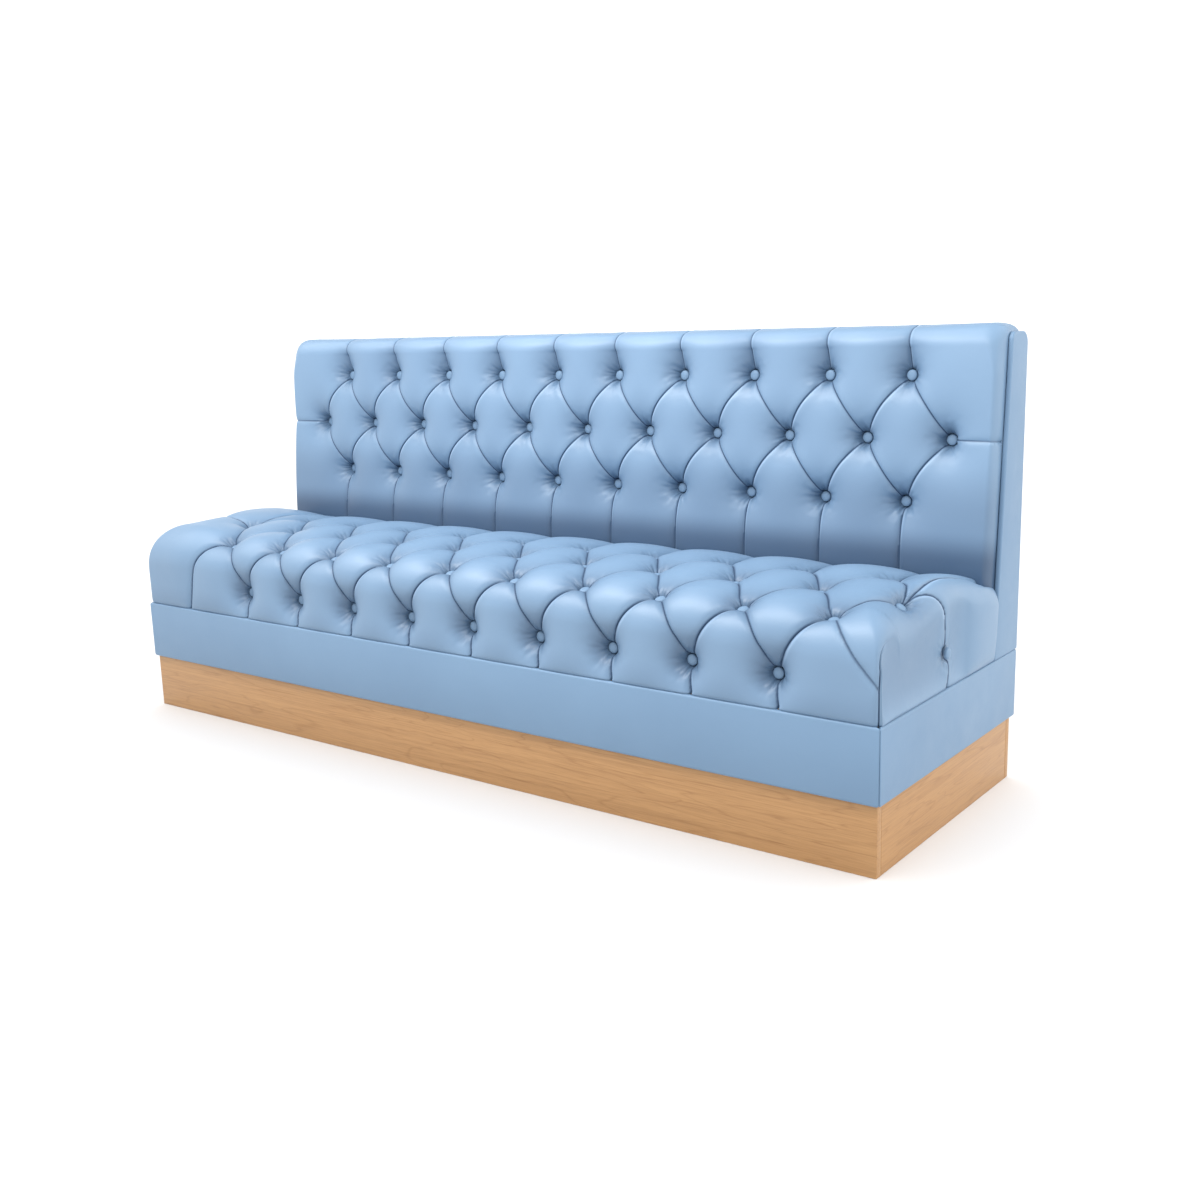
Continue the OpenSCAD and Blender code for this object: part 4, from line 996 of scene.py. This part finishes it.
back_foot_rows = 76
back_v = even(0, back_foot_rows, back_v_at(back_rows_z[0]), gap_rows, back_v_at(back_rows_z[1]), gap_rows,
              back_v_at(back_rows_z[2]), 14, back_face, 20, back_roll_end, 10, back_flat_end, 16, back_sheet)
back_row = [back_foot_rows + n * gap_rows for n in range(3)]
over_top = smooth((back_v - back_face) / (back_roll_end - back_face))
down_rear = np.clip((back_v - back_flat_end) / (back_sheet - back_flat_end), 0, 1)
inset = back_edge_radius + (back_top_edge - back_edge_radius) * over_top \
    + (back_rear_edge - back_top_edge) * down_rear
reach = back_side_reach + (back_corner_reach - back_side_reach) * smooth((back_v - back_face + 60) / 100) \
    + (back_rear_edge - back_corner_reach) * down_rear
end_u = sheet_length(pad_half, reach, inset)
end_columns = 40
even_u = (np.arange(10 * gap_columns + 1) / gap_columns - 5) * back_spacing
back_u = np.array([np.concatenate([
    np.linspace(-end, even_u[0], end_columns, endpoint=False), even_u,
    np.linspace(even_u[-1], end, end_columns + 1)[1:]]) for end in end_u])


def back_at(spaces):
    """Column of the grid that is so many spaces from the middle."""
    return end_columns + (spaces + 5) * gap_columns


def over_roll(way):
    """Depths of a pleat that comes up from the top row and runs out over the top."""
    share = np.clip(way / (back_flat_end - back_v_at(back_rows_z[2])), 0, 1)
    return top_pleat_depth + (back_pit - top_pleat_depth) * (1 - share) ** 1.15


back_places = [(n, s + k) for n, (s, count) in enumerate(((-4.5, 10), (-5, 11), (-4.5, 10)))
               for k in range(count)]
back = Tufting(*drawn_sheet(back_u, back_profile(back_v), pad_half, reach, inset), back_row, back_at,
               [back_pit] * 3, back_places)
last_row = back.rows - 1
for n, s in back_places:
    back.pleats_up(n, s, back_fold)
    if n == 0:
        back.pleat([back.spot(n, s), (46, back_at(s) + 2), (0, back_at(s) + 4)],
                   to_edge(back_pit, back_foot_pleat_depth, back_foot_pleat_reach))
    if n == 2:
        back.pleat([back.spot(n, s), (last_row, back_at(s))], over_roll, sharp=(1, 0.5))
for side in (-1, 1):
    rim = 0 if side < 0 else back.columns - 1
    back.pleat([back.spot(1, 5 * side), (back_row[1], rim)],
               to_edge(back_pit, side_pleat_depth, side_pleat_reach), sharp=(1, 0.35))
back.draw_in()
crown = (-back_lift + top_fall * smooth((back_v - back_face + 30) / 70)
         + foot_fall * smooth((back_v_at(480) - back_v) / 60))
crown = crown[:, None] + side_fall * smooth((np.abs(back_u) - 880) / 80)
back.settle(crown, pad_span)
# The painted shade at the foot of the backrest deepens towards the seat in two falls
shade_falls = ((0.50, 680, 110), (1.15, 540, 66))
near_seat = sum(share * smooth((back_v_at(height) - back_v) / fall) for share, height, fall in shade_falls)
painted_shade_mark = np.maximum(smooth((back.depth - shade_from) / back_shade_span), near_seat[:, None])
depth = back.folded(back_valley, back_valley_width, seed=11)
points = back.base - depth[..., None] * back.outward
points[0, :, 2] = pad_foot
points[-1, :, 2] = back_rear_z
# Behind, flat faces close the pad against the foam and over the rear rail
index = np.arange(back.rows * back.columns).reshape(back.rows, back.columns)
corners = np.array([[side * pad_half, behind_seam(foam_front, z) - soft_gap, z]
                    for side in (-1, 1) for z in (pad_foot, back_rear_z)])
low_left, high_left, low_right, high_right = np.arange(4) + index.size
closing = [np.array([low_left, high_left, high_right, low_right]),
           np.concatenate([[low_left], index[0], [low_right]]),
           np.concatenate([[high_right], index[-1, ::-1], [high_left]]),
           np.concatenate([[high_left], index[::-1, 0], [low_left]]),
           np.concatenate([[low_right], index[:, -1], [high_right]])]
back_cover = closed_piece("back_cover_tufted", back, points, corners, closing, painted_shade_mark)
fit(back_cover, vinyl_tufted, "back_cover")


# Buttons. Pressed steel shells covered in the same vinyl, with a low dome and
# a turned-in rim. A waxed twine through the pad holds each one in its pit.
shank_length = 7.0
rim_height = 3.6
rim_ease = 0.7
dome_steps = ((1.2, 1.5), (2.2, 1.0), (3.0, 0.6), (2.6, 0.3))
bpy.ops.mesh.primitive_cylinder_add(vertices=32, radius=button_d / 2 * mm, depth=rim_height * mm,
                                    location=(0, 0, rim_height / 2 * mm))
shell = bpy.context.active_object
bpy.ops.object.transform_apply(location=True, rotation=True, scale=True)
for thickness, lift in dome_steps:
    pick(shell, "FACE", lambda face: face.normal.z > 0.9 and face.center.xy.length < mm)
    bpy.ops.mesh.inset(thickness=thickness * mm)
    bpy.ops.transform.translate(value=(0, 0, lift * mm))
    bpy.ops.object.mode_set(mode="OBJECT")
finish_modifier(shell, "BEVEL", width=rim_ease * mm, segments=2, limit_method="ANGLE",
                angle_limit=math.radians(50))
finish_modifier(shell, "SUBSURF", levels=1)
bpy.ops.object.shade_smooth()


def covered_buttons(name, places, node):
    copies = []
    for place, outward, shank in places:
        copy = shell.copy()
        copy.data = shell.data.copy()
        turn = Vector(outward).to_track_quat("Z", "Y").to_matrix().to_4x4()
        copy.data.transform(Matrix.Translation(Vector(place) * mm) @ turn
                            @ Matrix.Translation((0, 0, shank * mm)))
        bpy.context.scene.collection.objects.link(copy)
        copies.append(copy)
    only(copies[0])
    for copy in copies:
        copy.select_set(True)
    bpy.ops.object.join()
    copies[0].name = copies[0].data.name = name
    fit(copies[0], vinyl_plain, node)


covered_buttons("seat_buttons_covered", seat.button_seats() + [
    ((side * seat_end_button[0], *seat_end_button[1:]), (side, 0, 0), shank_length) for side in (-1, 1)],
    "seat_buttons")
covered_buttons("back_buttons_covered", back.button_seats(), "back_buttons")
bpy.data.objects.remove(shell)


# End panels. Thin boards padded and covered in vinyl, which close the ends of
# the backrest. Their edges are rolled, and they stand just proud of the pad.
panel_front_radius = 15.0
panel_rear_radius = 25.0
panel_ease = 3 * mm


def crosses_top(panel, edge, top, middle, at_front):
    """Whether an edge lies across the top of the panel, in front of its middle or behind it."""
    a, b = (panel.data.vertices[i].co for i in edge.vertices)
    return min(a.z, b.z) > top - mm and abs(a.x - b.x) > mm and (a.y < middle) == at_front


for side in ("left", "right"):
    node = "back_%s_panel" % side
    low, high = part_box(node)
    middle = (low.y + high.y) / 2
    panel = block("back_end_panel_" + side, low, high)
    for vertex in panel.data.vertices:
        if vertex.co.y < middle:
            vertex.co.y = behind_seam(back_edge_radius - back_swell, vertex.co.z / mm) * mm
    for radius, at_front in ((panel_front_radius, True), (panel_rear_radius, False)):
        pick(panel, "EDGE", lambda edge: crosses_top(panel, edge, high.z, middle, at_front))
        bpy.ops.mesh.bevel(offset=radius * mm, segments=8)
        bpy.ops.object.mode_set(mode="OBJECT")
    eased(panel, panel_ease, segments=4, corner=50)
    fit(panel, vinyl_plain, node)


# Rear panel. Black lining cloth, stretched over the back of the frame.
cloth_colour = (0.012, 0.012, 0.013, 1)


def lining_cloth():
    material, tree, shader = new_material("black_lining_cloth")
    place = on_piece(tree)
    weave = times(*(add_node(tree, "ShaderNodeTexWave", {"bands_direction": way}, Vector=place,
                             Scale=420.0).outputs["Fac"] for way in "XZ"))
    tone = colour_ramp(weave, (0.1, cloth_colour), (0.8, shaded(cloth_colour, 2.2)))
    feed(shader, Base_Color=tone, Roughness=0.85, Sheen_Weight=0.3, Normal=bumped(weave, 0.4, 0.0005))
    return material


dress(lining_cloth(), "back_rear_panel")


# Floor and light. A pale floor runs out to a bright studio wall all round. A
# large soft light stands high at the front left, one low behind the right end,
# and a long one hangs over the front of the seat and shines on the backrest.
wall_light = 1.52
ceiling_light = 0.65
floor_colour = (0.80, 0.80, 0.80, 1)
bpy.ops.mesh.primitive_plane_add(size=200, location=(0, 0, 0))
floor = bpy.context.active_object
floor.name = "floor"
material, tree, shader = new_material("floor_paint")
feed(shader, Base_Color=floor_colour, Roughness=0.95, Specular_IOR_Level=0.0)
floor.data.materials.append(material)
world = bpy.data.worlds.new("studio")
bpy.context.scene.world = world
world.use_nodes = True
tree = world.node_tree
direction = add_node(tree, "ShaderNodeTexCoord").outputs["Generated"]
height = add_node(tree, "ShaderNodeSeparateXYZ", Vector=direction).outputs["Z"]
strength = ranged(height, "SMOOTHSTEP", From_Min=0.20, From_Max=0.38, To_Min=wall_light,
                  To_Max=ceiling_light)
feed(tree.nodes["Background"], Color=(1, 1, 1, 1), Strength=strength)


# The lamps for the bench are flagged off the floor, which has a wash of its own
floor_only = bpy.data.collections.new("floor_only")
bench_only = bpy.data.collections.new("bench_only")
floor_only.objects.link(floor)
bench_only.objects.link(floor)
bench_only.collection_objects[0].light_linking.link_state = "EXCLUDE"


def lamp(name, lit, kind, power, place, aim, **settings):
    data = bpy.data.lights.new(name, kind)
    data.energy = power
    for setting, value in settings.items():
        setattr(data, setting, value)
    light = bpy.data.objects.new(name, data)
    light.location = place
    light.rotation_euler = (Vector(place) - Vector(aim)).to_track_quat("Z", "Y").to_euler()
    light.light_linking.receiver_collection = lit
    bpy.context.scene.collection.objects.link(light)


lamp("key", bench_only, "SUN", 1.8, (-1.6, -0.9, 2.4), (0, 0, 0), angle=math.radians(55))
lamp("side", bench_only, "SUN", 2.0, (0.9, 0.4, 0.6), (0, 0, 0), angle=math.radians(90))
lamp("overhead", bench_only, "AREA", 27, (0.0, -0.75, 1.8), (0.1, 0.2, 0.9), shape="RECTANGLE", size=2.4,
     size_y=0.5)
lamp("wash", floor_only, "SUN", 2.9, (0, 0, 3), (0, 0, 0), angle=math.radians(160))
bpy.context.scene.view_settings.view_transform = "Standard"
